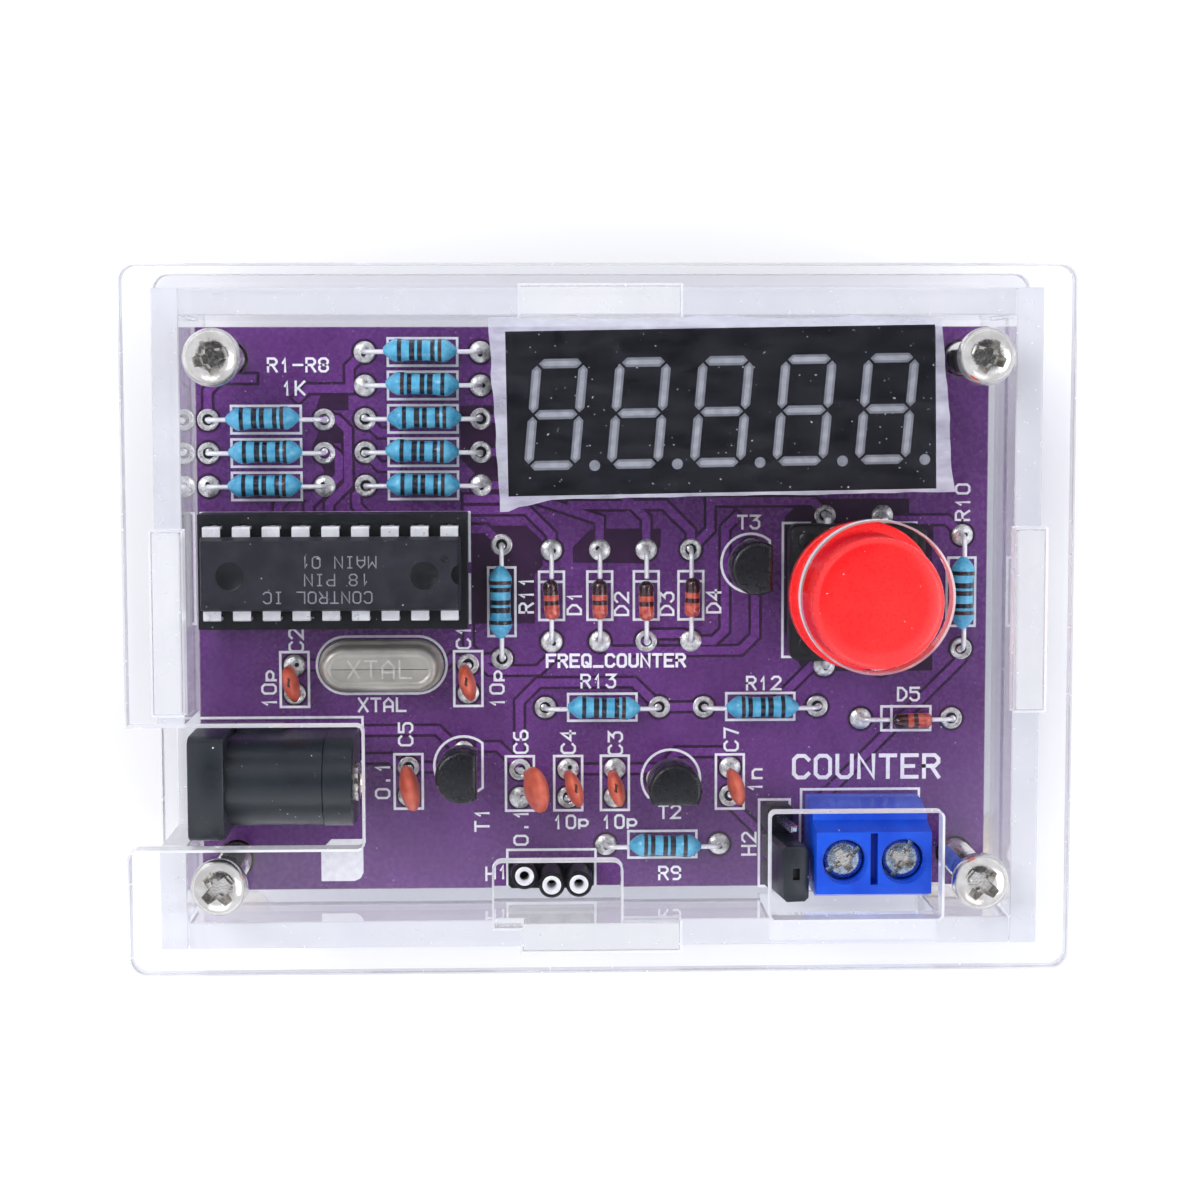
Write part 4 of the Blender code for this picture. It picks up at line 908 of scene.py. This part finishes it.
def make_silk():
    piece = Piece(SILK)
    place = on_board(0, 0)

    def stroke(*path, closed=False):
        piece.ribbon(path, 0.22, SILK_LOW, SILK_TOP, place, closed)

    def frame_at(x, y, width, depth):
        stroke(*rectangle(width, depth, x, y), closed=True)

    for x, y, turn in RESISTORS.values():
        frame_at(x, y, *((6.1, 2.4) if turn == 0 else (2.4, 6.1)))
    for x, y, turn in DIODES.values():
        if turn == 90:
            frame_at(x, y, 2.2, 4.3)
            stroke((x - 1.1, y + 1.25), (x + 1.1, y + 1.25))
        else:
            frame_at(x, y, 4.4, 2.15)
            stroke((x - 1.3, y - 1.1), (x - 1.3, y + 1.1))
    for x, y, *_ in CAPACITORS.values():
        frame_at(x, y, 2.5, 4.9)
    outline = [(p[0] + CRYSTAL_AT[0], p[1] + CRYSTAL_AT[1]) for p in rounded(11.5, 5.1, 2.54, 8)]
    stroke(*outline, closed=True)
    for x, y, turn in TRANSISTORS.values():
        stroke(*(step_from(x, y, turn + a, 2.62) for a in range(50, 311, 10)), closed=True)
    # key switch
    x0, x1, y0, y1 = 16.75, 28.65, -4.3, 7.65
    stroke((x0 + 2.4, y1), (x0, y1), (x0, y0), (x0 + 1.3, y0))
    stroke((x1 - 2.6, y1), (x1, y1), (x1, y1 - 0.7))
    # chip outline with its notch
    x0, x1, y0, y1 = CHIP_AT[0] - 11.9, CHIP_AT[0] + 11.75, CHIP_AT[1] - 4.9, CHIP_AT[1] + 4.9
    stroke((x1, CHIP_AT[1] + 0.6), (x1, y1), (x0, y1), (x0, y0), (x1, y0), (x1, CHIP_AT[1] - 0.6))
    # power jack outline and the polarity patch beside it
    stroke((-34.9, -9.5), (-20.66, -9.5), (-20.66, -21.0))
    patch = [(-23.6, -20.6), (-20.7, -20.6), (-20.7, -23.5), (-20.95, -24.0), (-21.45, -24.25),
             (-24.45, -24.25), (-24.45, -21.5)]
    piece.prism(patch, SILK_LOW, SILK_TOP, place)
    frame_at(-3.9, -23.2, 7.9, 3.3)
    frame_at(*PINS_AT, 2.75, 7.85)
    frame_at(TERMINAL_X, -20.45, 10.6, 8.4)
    for text, x, y in (
            ("R1-R8", -26.0, 21.68), ("R9", 6.7, -23.75), ("R12", 15.1, -6.64), ("R13", 0.32, -6.38),
            ("D5", 28.08, -7.7), ("T2", 6.7, -18.2), ("T3", 13.7, 7.75), ("XTAL", -18.9, -8.4),
            ("10p", -2.15, -19.05), ("10p", 2.2, -19.05), ("1K", -26.4, 19.66), ("H1", -8.8, -23.7)):
        write(piece, text, x, y, 1.12, 0, 0.2)
    for text, x, y in (
            ("R10", 32.76, 9.45), ("R11", -6.07, 1.36), ("D1", -1.8, 0.6), ("D2", 2.4, 0.5),
            ("D3", 6.42, 0.5), ("D4", 10.6, 0.7), ("C1", -11.65, -2.4), ("C2", -26.45, -2.6),
            ("C3", 1.84, -12.0), ("C4", -2.37, -11.85), ("C5", -16.84, -11.06), ("C6", -6.6, -11.8),
            ("C7", 12.2, -11.7), ("T1", -10.1, -18.8), ("H2", 13.82, -21.15), ("10p", -28.9, -6.94),
            ("10p", -8.7, -7.05), ("0.1", -18.93, -15.2), ("0.1", -6.62, -19.5), ("1n", 14.34, -15.4)):
        write(piece, text, x, y, 1.18, 90, 0.2)
    write(piece, "FREQ_COUNTER", 1.9, -4.55, 1.05, 0, 0.24)
    write(piece, "COUNTER", 24.34, -14.2, 1.95, 0, 0.34)
    piece.make("silk_print", "case", None)


# --- parts with two leads ----------------------------------------------------------------
def bent_lead(piece, place, half, reach, height, side):
    """A lead from a lying body, bent down through the board."""
    bend = 0.75
    path = [(side * reach, 0, height), (side * (half - bend), 0, height)]
    for k in range(1, 6):
        angle = math.pi / 2 * k / 5
        out = half - bend + bend * math.sin(angle)
        path.append((side * out, 0, height - bend + bend * math.cos(angle)))
    path.append((side * half, 0, -0.2))
    piece.paint(TIN).tube(path, 0.21, 10, place)


def banded(piece, stops, colours, place, sides):
    """A turned body lying along X, from (x, radius) stops, in a finish for each stretch."""
    lie = place @ spin(90, "Y")
    rings = [piece.ring([(*spot, x) for spot in circle(radius, sides)], lie) for x, radius in stops]
    for i, (first, second) in enumerate(zip(rings, rings[1:])):
        piece.paint(colours((stops[i][0] + stops[i + 1][0]) / 2))
        piece.skin([first, second], cap=False)
    piece.paint(colours(stops[0][0]))
    piece.face(rings[0])
    piece.paint(colours(stops[-1][0]))
    piece.face(rings[-1])


def make_resistors():
    chance = random.Random(7)
    marks = ((-1.77, 0.36, BAND_BLACK), (-0.68, 0.48, BAND_BLACK), (0.0, 0.42, BAND_BLACK),
             (1.12, 0.4, BAND_BLACK), (1.74, 0.34, BAND_BROWN))

    def colour(x):
        for middle, width, finish in marks:
            if abs(x - middle) < width / 2:
                return finish
        return BODY_BLUE

    def radius(x):
        """The body swells over the end caps, then tapers to its leads."""
        u = abs(x)
        if u > 2.1:
            share = min((u - 2.1) / 1.1, 1)
            return 1.02 - 0.76 * share ** 1.5
        swell = min(max((u - 1.0) / 0.8, 0), 1)
        return 0.9 + 0.12 * swell * swell * (3 - 2 * swell)

    cuts = sorted({middle + side * width / 2 for middle, width, _ in marks for side in BOTH})
    plain = [0, 1.0, 1.2, 1.4, 1.65, 1.85, 2.1, 2.25, 2.4, 2.55, 2.7, 2.85, 3.0, 3.1, 3.2]
    plain = sorted({side * u for u in plain for side in BOTH})
    for number, (x, y, turn) in RESISTORS.items():
        wobble = chance.uniform(-1.5, 1.5)
        slip = chance.uniform(-0.25, 0.25)
        flip = chance.choice((0, 180))
        place = on_board(x, y, turn)
        body = place @ shift(slip, 0.12, 1.35) @ spin(wobble + flip)
        piece = Piece(BODY_BLUE)
        banded(piece, [(u, radius(u)) for u in sorted(set(plain + cuts))], colour, body, 32)
        for side in BOTH:
            bent_lead(piece, place, RESISTOR_SPAN, 3.0, 1.35, side)
        piece.stand_for(f"resistor_{number}", "resistor_blue")


def make_diodes():
    def colour(x):
        if x > 0.45 or -0.45 < x < -0.05:
            return GLASS_DARK
        return GLASS_RED

    chance = random.Random(11)
    profile = []
    for u in (-1.75, -1.72, -1.62, -1.45, -1.25, -0.9, -0.45, -0.25, -0.05, 0.2, 0.45, 0.9, 1.25, 1.45,
              1.62, 1.72, 1.75):
        end = max(abs(u) - 1.25, 0) / 0.51
        profile.append((u, 0.68 * math.sqrt(max(1 - end * end, 0.12))))
    for number, (x, y, turn) in DIODES.items():
        place = on_board(x, y, turn)
        body = place @ shift(chance.uniform(-0.5, 0.0), chance.uniform(-0.1, 0.15), 1.0)
        body = body @ spin(chance.uniform(-4, 4))
        piece = Piece(GLASS_RED)
        banded(piece, profile, colour, body, 28)
        for side in BOTH:
            bent_lead(piece, place, DIODE_SPAN, 1.55, 1.0, side)
        piece.make(f"diode_{number}", "case", None)


def make_capacitors():
    """Dipped discs: a lumpy lens with two shoulders that run down the leads."""
    for number, (x, y, size, turn, lean) in CAPACITORS.items():
        size *= 0.9
        place = on_board(x, y) @ spin(lean, "Y") @ spin(turn) @ spin(90)
        height = size + 1.8
        rows = []
        count, sides = 16, 40
        piece = Piece(CERAMIC)
        face_on = place @ shift(0, 0, height) @ spin(90, "X")
        for k in range(count + 1):
            angle = math.pi * k / count
            radius = size * math.sin(angle) ** 1.15 if 0 < k < count else 0
            z = (0.72 if size < 2 else 0.9) * math.cos(angle)
            if radius == 0:
                rows.append(piece.ring([(0, 0, z)], face_on))
                continue
            ring = []
            for i in range(sides):
                a = 2 * math.pi * i / sides
                lump = 1 + 0.04 * noise.noise(Vector((math.cos(a) * 2 + number, math.sin(a) * 2, k * 0.4)))
                ring.append((radius * lump * math.cos(a), radius * lump * math.sin(a), z))
            rows.append(piece.ring(ring, face_on))
        piece.skin(rows)
        if size < 2 and number != 7:
            slit = [(-0.25, size - 0.15), (0.1, size - 0.02), (0.55, size - 0.12), (0.85, size - 0.4)]
            slit = [(px, py, 0.1 * (-1) ** i) for i, (px, py) in enumerate(slit)]
            piece.paint(CERAMIC_SLIT).tube(slit, lambda i: (0.05, 0.12, 0.12, 0.05)[i], 8, face_on)
        for side in BOTH:
            top = height - 0.55 * size
            out = side * CAPACITOR_SPAN
            foot = [(side * 0.95, 0, top), (side * 1.15, 0, top - 0.4), (out, 0, top - 0.9)]
            piece.paint(CERAMIC).tube(foot, lambda i: (0.5, 0.42, 0.3)[i], 14, place)
            lead = [(side * 1.24, 0, top - 0.6), (out, 0, 0.8), (out, 0, -0.2)]
            piece.paint(TIN).tube(lead, 0.22, 10, place)
        piece.stand_for(f"capacitor_{number}", "capacitor_ceramic")


# --- bigger parts ---------------------------------------------------------------------------
def make_transistors():
    """Half-round cases with a flat side, each on three leads."""
    radius, flat = 2.35, 1.3
    limit = math.degrees(math.acos(flat / radius))
    arc = [math.radians(limit + (360 - 2 * limit) * k / 28) for k in range(29)]
    outline = [(radius * math.cos(a), radius * math.sin(a)) for a in arc]
    levels = [(0.3, 2.6), (0.06, 2.72), (0, 4.4), (0.02, 6.8), (0.09, 7.04), (0.24, 7.17), (0.42, 7.2)]
    for number, (x, y, turn) in TRANSISTORS.items():
        place = on_board(x, y, turn)
        piece = Piece(EPOXY)
        piece.stack(outline, levels, place)
        piece.paint(TIN)
        for i in (-1, 0, 1):
            piece.tube([(0, i * PITCH / 2, z) for z in (2.9, 1.6, -0.2)], 0.25, 8, place)
        piece.stand_for(f"transistor_{number}", "black_plastic")


def make_crystal():
    place = on_board(*CRYSTAL_AT)
    piece = Piece(CAN)
    piece.prism(rounded(11.05, 4.65, 2.32, 12), 0.2, 0.82, place, 0.22, 0.1, 3)
    levels = [(0, 0.6), (0, 3.2), (0.05, 3.42), (0.2, 3.6), (0.42, 3.69), (0.6, 3.7), (0.72, 3.62),
              (0.9, 3.6)]
    piece.stack(rounded(10.2, 3.8, 1.895, 12), levels, place)
    write(piece.paint(CAN_MARK), "XTAL", 0, 0, 1.5, 0, 0.16, place @ shift(0, 0, 3.6), 0.012)
    piece.stand_for("crystal", "crystal_can")


def make_chip():
    cad_copy("chip_socket", BLACK, 0.12, "case", "black_plastic")
    place = on_board(*CHIP_AT)
    piece = Piece(CHIP_BLACK)
    half_x, half_y, waist, top = 11.15, 3.2, 6.75, 8.4
    rings = []
    for dx, dy, z in ((0.34, 0.36, 5.1), (0.26, 0.28, 5.16), (0, 0, waist - 0.08), (0, 0, waist + 0.08),
                      (0.26, 0.28, top - 0.06), (0.34, 0.36, top)):
        outline = rounded(2 * (half_x - dx), 2 * (half_y - dy), 0.15, 2)
        rings.append(piece.ring([(x, y, z) for x, y in outline], place))
    piece.skin(rings)
    # Cut surfaces take this piece's darker black: painted shade in the notch, the dimples and the pin-one
    # dot.
    pits = Piece(PIT_SHADE_BLACK)
    pits.lathe([(0.95, 9), (0.95, 7.7)], 24, place @ shift(half_x + 0.15, 0))
    for x in (-8.46, 8.06):
        pits.lathe([(1.22, 9), (1.22, 8.33), (1.1, 8.28)], 40, place @ shift(x, -0.08))
    pits.lathe([(0.32, 9), (0.32, 8.36), (0.2, 8.3)], 20, place @ shift(9.76, 1.37))
    piece.cut(pits).paint(TIN)
    shoulder = [(2.9, waist - 0.14), (3.8, waist - 0.14), (3.8, 5.2), (4.04, 5.2), (4.04, waist),
                (3.9, waist + 0.14), (2.9, waist + 0.14)]
    tip = [(3.8, 5.3), (3.8, 2.6), (4.04, 2.6), (4.04, 5.3)]
    for x in pins(9):
        for side in BOTH:
            for outline, half in ((shoulder, 0.76), (tip, 0.25)):
                faced = [(side * a, b) for a, b in outline]
                piece.prism(faced, x - half, x + half, place @ LIE_X, 0.03, 0.03, 1)
    piece.paint(CHIP_INK)
    for text, x, y in (("CONTROL IC", -1.0, -1.9), ("18 PIN", 0.6, -0.4), ("MAIN 01", 0.8, 1.1)):
        write(piece, text, x, y, 0.95, 180, 0.11, place @ shift(0, 0, top), 0.012)
    piece.stand_for("microcontroller", "black_plastic")


def segment_bars(width, height, bar):
    """The seven bars of a digit about its middle, as outlines."""
    x, y, half = width / 2 - bar / 2, height / 2 - bar / 2, bar / 2
    gap = 0.15

    def pointed(low, high):
        """A bar with pointed ends, from low to high."""
        low, high = low + gap, high - gap
        return [(low, 0), (low + half, -half), (high - half, -half), (high, 0), (high - half, half),
                (low + half, half)]

    def across(middle):
        return [(a, middle + b) for a, b in pointed(-x, x)]

    def upright(middle, low, high):
        return [(middle - b, a) for a, b in pointed(low, high)]

    return [across(y), across(0), across(-y), upright(-x, 0, y), upright(x, 0, y), upright(-x, -y, 0),
            upright(x, -y, 0)]


def make_display():
    place = on_board(*DISPLAY_AT, DISPLAY_TURN)
    piece = Piece(FACE)
    piece.box((-DISPLAY_HALF_X, -DISPLAY_HALF_Y, 0.6), (DISPLAY_HALF_X, DISPLAY_HALF_Y, 7.4), place, 0.12)
    lean = math.tan(math.radians(6))
    digits = [(number - 2) * DIGIT_STEP for number in range(5)]
    for middle in digits:
        for outline in segment_bars(4.75, 9.45, 0.8):
            slanted = [(middle + x + y * lean, y - 0.1) for x, y in outline]
            piece.paint(SEGMENT).prism(slanted, 7.3, 7.42, place, 0.02, 0, 1)
            piece.paint(SEGMENT_CORE).prism(inset(slanted, 0.2), 7.3, 7.435, place)
    for middle in digits:
        dot = [(0.46, 7.3), (0.46, 7.41), (0.4, 7.425), (0, 7.43)]
        piece.paint(DOT).lathe(dot, 24, place @ shift(middle + 3.22, -4.5))
    piece.paint(TIN)
    for x in pins(7):
        for y in (-DISPLAY_ROW, DISPLAY_ROW):
            piece.box((x - 0.25, y - 0.15, -0.2), (x + 0.25, y + 0.15, 0.8), place)
    piece.stand_for("digit_display", "display_plastic")


def make_film():
    """The protective film: clear on the display, milky past its edges, curled at one corner."""
    place = on_board(*DISPLAY_AT, DISPLAY_TURN)
    thick = 0.05
    outward = (0.3, 0.65, 1.0)

    def lines(half, count):
        """Grid lines over the display and past its edges, as (place, share of the overhang)."""
        inner = [(-half + 2 * half * k / count, 0) for k in range(count + 1)]
        return [(-half, -t) for t in reversed(outward)] + inner + [(half, t) for t in outward]

    columns = lines(DISPLAY_HALF_X, 40)
    rows = lines(DISPLAY_HALF_Y, 16)
    piece = Piece(FILM)
    sheets = []
    for layer in (0, thick):
        grid = []
        for y, past_y in rows:
            up = 0.5 + y / (2 * DISPLAY_HALF_Y)
            line = []
            for x, past_x in columns:
                right = 0.5 + x / (2 * DISPLAY_HALF_X)
                reach_x = 0.75 + 0.65 * up if past_x < 0 else 1.5 - 0.9 * up
                reach_y = 1.2 - 0.55 * right if past_y > 0 else 0.3 + 1.0 * max(0, 1 - right / 0.09)
                wave = noise.noise(Vector((x * 0.5, y * 0.5, 4.0)))
                at_x = x + past_x * reach_x * (1 + 0.15 * wave)
                at_y = y + past_y * reach_y * (1 + 0.25 * wave)
                curl = max(0, 1 - math.hypot(at_x + DISPLAY_HALF_X + 0.8, at_y + DISPLAY_HALF_Y + 1.2) / 3.0)
                loose = max(abs(past_x), abs(past_y))
                z = 7.5 + layer + 0.02 * wave + 0.3 * loose * max(wave, -0.1) + 1.1 * curl ** 1.4
                line.append(piece.bm.verts.new(place @ Vector((at_x, at_y, z))))
            grid.append(line)
        sheets.append(grid)
    last_x, last_y = len(columns) - 1, len(rows) - 1
    border = len(outward)
    for grid in sheets:
        for j in range(last_y):
            for i in range(last_x):
                made = piece.face((grid[j][i], grid[j][i + 1], grid[j + 1][i + 1], grid[j + 1][i]))
                if not (border <= i < last_x - border and border <= j < last_y - border):
                    made.material_index = 1
    rim = [(j, 0) for j in range(last_y)] + [(last_y, i) for i in range(last_x)]
    rim += [(last_y - j, last_x) for j in range(last_y)] + [(0, last_x - i) for i in range(last_x)]
    for k in range(len(rim)):
        (row, column), (next_row, next_column) = rim[k], rim[(k + 1) % len(rim)]
        low, high = sheets
        made = piece.face((low[row][column], low[next_row][next_column], high[next_row][next_column],
                           high[row][column]))
        made.material_index = 1
    piece.finishes.append(FILM_EDGE)
    piece.stand_for("display_film", "film")


def make_switch():
    place = on_board(*SWITCH_AT)
    piece = Piece(BLACK)
    piece.prism(rounded(12, 12, 0.8, 4), 0.2, 3.3, place, 0.2, 0.1, 2)
    well = Piece(BLACK).lathe([(3.5, 5), (3.5, 2.3)], 40, place)
    piece.cut(well)
    for sx, sy in CORNERS:
        piece.lathe([(0.75, 3.2), (0.75, 3.42), (0.6, 3.5), (0, 3.5)], 20, place @ shift(sx * 4.6, sy * 4.6))
    piece.paint(TIN)
    for sx, sy in CORNERS:
        leg = ((5.9, 1.3), (6.4, 1.3), (6.65, 1.0), (6.7, -0.2))
        piece.tube([(sx * PITCH, sy * y, z) for y, z in leg], 0.34, 8, place)
    piece.stand_for("key_switch", "black_plastic")
    plunger = Piece(BLACK).lathe([(3.2, 3.8), (3.2, 2.85), (2.9, 2.8), (0, 2.8)], 40, place)
    plunger.prism(rounded(3.8, 3.8, 0.3, 3), 3.5, 7.3, place, 0.15, 0, 2)
    plunger.stand_for("switch_plunger", "black_plastic", "button")
    cap = Piece(RED)
    outer = [(0, 14.87), (4.0, 14.87), (5.0, 14.85), (5.25, 14.78), (5.45, 14.66), (5.56, 14.5), (5.6, 14.2),
             (5.6, 6.7), (5.68, 6.45), (5.9, 6.4), (6.35, 6.4), (6.47, 6.3), (6.5, 6.15), (6.5, 5.4),
             (6.42, 5.25), (6.3, 5.2), (4.5, 5.2), (4.5, 13.4), (0, 13.4)]
    leaning = place @ shift(0, 0, 5.2) @ spin(1.6, "Y") @ shift(0, 0, -5.2)
    cap.lathe(outer, 96, leaning)
    cap.prism(rounded(5.8, 5.8, 0.5, 3), 5.6, 13.6, leaning, 0, 0.1, 2)
    socket = Piece(RED).prism(rectangle(4.0, 4.0), 4.0, 7.5, place)
    cap.cut(socket).stand_for("button_cap", "red_plastic", "button")


def make_jack():
    """The power socket: a square mouth, a barrel with one seam, and a riveted back."""
    front, back, axis = -34.9, -20.95, 6.5
    place = on_board(0, JACK_Y) @ LIE_X
    mouth = [(-4.5, 0.2), (4.5, 0.2), (4.5, 10.1), (4.3, 10.7), (3.9, 11.0), (-3.9, 11.0), (-4.3, 10.7),
             (-4.5, 10.1)]
    piece = Piece(JACK_BLACK)
    piece.prism(mouth, front, front + 3.1, place, 0.15, 0.2, 2)
    half_turn = [math.pi * k / 28 for k in range(29)]

    def barrel(radius, z):
        arch = [(-radius, 0.4), (radius, 0.4)]
        arch += [(radius * math.cos(a), axis - 0.1 + radius * math.sin(a)) for a in half_turn]
        return piece.ring([(px, py, z) for px, py in arch], place)

    seam = back - 2.6
    stops = ((front + 2.7, 3.8), (seam - 0.04, 3.8), (seam, 3.7), (seam + 0.04, 3.86), (back - 0.15, 3.86),
             (back, 3.7))
    piece.skin([barrel(radius, z) for z, radius in stops])
    bore_place = place @ shift(0, axis, front)
    piece.cut(Piece(JACK_BLACK).lathe([(3.35, -1), (3.35, 0.2), (3.15, 0.5), (3.15, 9.5)], 40, bore_place))
    piece.paint(JACK_BLACK).box((-4.5, 0.3, front + 3.1), (4.5, 2.2, back - 6.5), place, 0.1)
    piece.paint(NICKEL).lathe([(0, 1.0), (0.55, 1.0), (0.85, 1.15), (1.0, 1.5), (1.0, 9.6)], 28, bore_place)
    rivet = [(1.75, -0.05), (1.75, 0.3), (1.55, 0.48), (1.15, 0.52), (1.0, 0.82), (0.6, 0.92), (0, 0.92)]
    piece.paint(NICKEL).lathe(rivet, 32, place @ shift(0, axis, back))
    piece.box((-0.9, 0.3, back - 0.1), (0.9, 6.0, back + 0.16), place, 0.04)
    piece.stand_for("power_jack", "black_plastic")


def make_terminal():
    place = on_board(TERMINAL_X, 0)
    front, back, top = -24.3, -16.6, 10.0
    piece = Piece(BLUE)
    outline = [(front, 0.2), (back, 0.2), (back, 3.2), (back - 0.7, 7.2), (back - 1.3, 7.35),
               (back - 1.9, top), (front + 0.4, top), (front, top - 1.4)]
    piece.prism(outline, -5.0, 5.0, place @ LIE_X, 0.12, 0.12, 2)
    for x in (-PITCH, PITCH):
        well = [(2.0, top + 1), (2.0, top - 0.1), (1.85, top - 0.3), (1.85, 6.6)]
        piece.cut(Piece(BLUE).lathe(well, 40, place @ shift(x, TERMINAL_SCREW_Y)))
        piece.cut(Piece(BLUE).box((x - 2.0, front - 1, 0.9), (x + 2.0, -18.95, 6.8), place))
    piece.cut(Piece(BLUE).box((-0.32, -23.1, top - 1.5), (0.32, -18.6, top + 1), place))
    piece.stand_for("terminal_block", "blue_plastic")
    head = [(0, 9.0), (1.2, 9.0), (1.5, 8.93), (1.66, 8.78), (1.7, 8.6), (1.7, 7.7), (1.62, 7.6), (1.0, 7.6),
            (1.0, 7.4), (0, 7.4)]
    for number, x, turn in ((1, -PITCH, 35), (2, PITCH, 62)):
        node = f"terminal_screw_{number}"
        at = place @ shift(x, TERMINAL_SCREW_Y)
        screw = Piece(ZINC).lathe(head, 40, at)
        turned = at @ spin(turn)
        screw.cut(cross_cutter(turned, 1.35, 0.3, 8.0, 9.6))
        screw.cut(Piece(ZINC).box((-2.2, -0.22, 8.45), (2.2, 0.22, 9.6), turned))
        thread(screw, at, 1.24, 1.0, 0.5, 3.4, 7.5)
        screw.stand_for(node, "plated_steel", node)
        cad_copy(f"wire_clamp_{number}", ZINC, 0.1, f"wire_clamp_{number}", "plated_steel")


def make_sockets():
    place = on_board(*SOCKETS_AT)
    piece = Piece(BLACK)
    piece.prism(octagon(3.81, 3.5, 1.2, 0.9), 0.2, 2.8, place, 0.1, 0.1, 1)
    for i, lean in ((-1, -6.0), (0, 0.5), (1, 0.0)):
        at = place @ shift(i * PITCH, 0) @ spin(lean, "X") @ spin(-1.4 * i, "Y")
        piece.paint(BLACK).pipe([(0.8, 2.6), (1.15, 2.6), (1.15, 6.85), (1.0, 7.0), (0.8, 7.0)], 32, at)
        contact = [(0.42, 3.6), (0.82, 3.6), (0.82, 7.04), (0.72, 7.1), (0.52, 6.95), (0.42, 6.8)]
        piece.paint(TIN).pipe(contact, 32, at)
        # A black plug at the bottom of each contact's hole: painted shade that darkens the hole.
        piece.paint(BLACK).lathe([(0.5, 3.5), (0.5, 4.2)], 16, at)
    piece.stand_for("socket_strip", "black_plastic")


def make_jumper():
    """Three leaning pins, with a cap over two of them."""
    lean = on_board(*PINS_AT) @ spin(7, "Y")
    header = Piece(BLACK)
    for y in pins(3):
        at = lean @ shift(0, y)
        header.paint(BLACK).prism(octagon(1.2, 0.85, 1.27, 0.9), 0.4, 2.7, at, 0.08, 0.08, 1)
        header.paint(ZINC).prism(rectangle(0.6, 0.6), 0.5, 8.4, at, 0.14, 0, 1)
    header.stand_for("pin_header", "black_plastic")
    middle = lean @ shift(0, -PITCH / 2)
    jumper = Piece(JACK_BLACK).prism(octagon(1.15, 0.8, 2.45, 2.1), 2.9, 9.0, middle, 0.18, 0.06, 2)
    pockets = Piece(BLACK)
    for y in (-PITCH / 2, PITCH / 2):
        pockets.box((-0.45, y - 0.45, 2.0), (0.45, y + 0.45, 8.6), middle)
    pockets.box((-0.3, -0.5, 8.5), (0.3, 0.5, 9.5), middle)
    jumper.cut(pockets).stand_for("jumper_cap", "black_plastic", "jumper")


# --- camera, light and floor ---------------------------------------------------------------
def make_camera():
    camera = bpy.data.cameras.new("camera")
    camera.sensor_width = 36
    camera.lens = 73.664
    camera.clip_start = 0.01
    seat = add_object("camera", camera)
    tilt = (Matrix.Rotation(-0.086391, 4, "X") @ Matrix.Rotation(-0.031384, 4, "Y")
            @ Matrix.Rotation(-0.0043336, 4, "Z"))
    seat.matrix_world = Matrix.Translation(Vector((-6.554, 19.67, 229.857)) * MM) @ tilt
    bpy.context.scene.camera = seat


def make_floor():
    floor = Piece(WHITE_SHEET)
    floor.face(floor.ring([(x, y, -0.02) for x, y in rectangle(3000, 3000)], UPRIGHT))
    floor.bm.transform(Matrix.Scale(MM, 4))
    mesh = bpy.data.meshes.new("floor")
    floor.bm.to_mesh(mesh)
    floor.bm.free()
    mesh.materials.append(WHITE_SHEET)
    ground = add_object("floor", mesh)


def make_lamps():
    """Three soft boxes. The key lamp casts no mirror image, which would hide what is under the lid."""
    for name, at, size, power, tint in (
            ("key", (-0.42, 0.34, 0.62), 0.42, 2.9, (1.0, 0.99, 0.97)),
            ("fill", (0.55, -0.1, 0.5), 0.5, 1.2, (0.96, 0.98, 1.0)),
            ("front", (-0.1, -0.62, 0.5), 0.5, 0.65, (0.99, 0.99, 1.0))):
        lamp = bpy.data.lights.new(name, "AREA")
        lamp.size = size
        lamp.energy = power
        lamp.color = tint
        made = add_object(name, lamp)
        made.location = at
        made.rotation_euler = (-Vector(at)).to_track_quat("-Z", "Y").to_euler()
        made.visible_glossy = name != "key"


def make_sky():
    """Pale surroundings with a dim patch overhead, where the lid's mirror image comes from."""
    world = bpy.data.worlds.new("studio")
    bpy.context.scene.world = world
    world.use_nodes = True
    tree = world.node_tree
    sky = tree.nodes["Background"]
    place = tree.nodes.new("ShaderNodeTexCoord")
    toward = tree.nodes.new("ShaderNodeVectorMath")
    toward.operation = "DOT_PRODUCT"
    tree.links.new(place.outputs["Generated"], toward.inputs[0])
    toward.inputs[1].default_value = Vector((0.03, 0.14, 0.99)).normalized()
    fall = tree.nodes.new("ShaderNodeMapRange")
    fall.interpolation_type = "SMOOTHSTEP"
    tree.links.new(toward.outputs["Value"], fall.inputs["Value"])
    for key, value in (("From Min", 0.932), ("From Max", 0.957), ("To Min", 1.3), ("To Max", 0.1)):
        fall.inputs[key].default_value = value
    tree.links.new(fall.outputs[0], sky.inputs["Strength"])
    sky.inputs["Color"].default_value = (0.70, 0.71, 0.75, 1)
    bpy.context.scene.view_settings.view_transform = "Standard"


make_camera()
make_floor()
make_lamps()
make_sky()
make_panels()
make_walls()
make_screws()
make_standoffs()
make_board()
make_traces()
make_silk()
make_resistors()
make_diodes()
make_capacitors()
make_transistors()
make_crystal()
make_chip()
make_display()
make_film()
make_switch()
make_jack()
make_terminal()
make_sockets()
make_jumper()
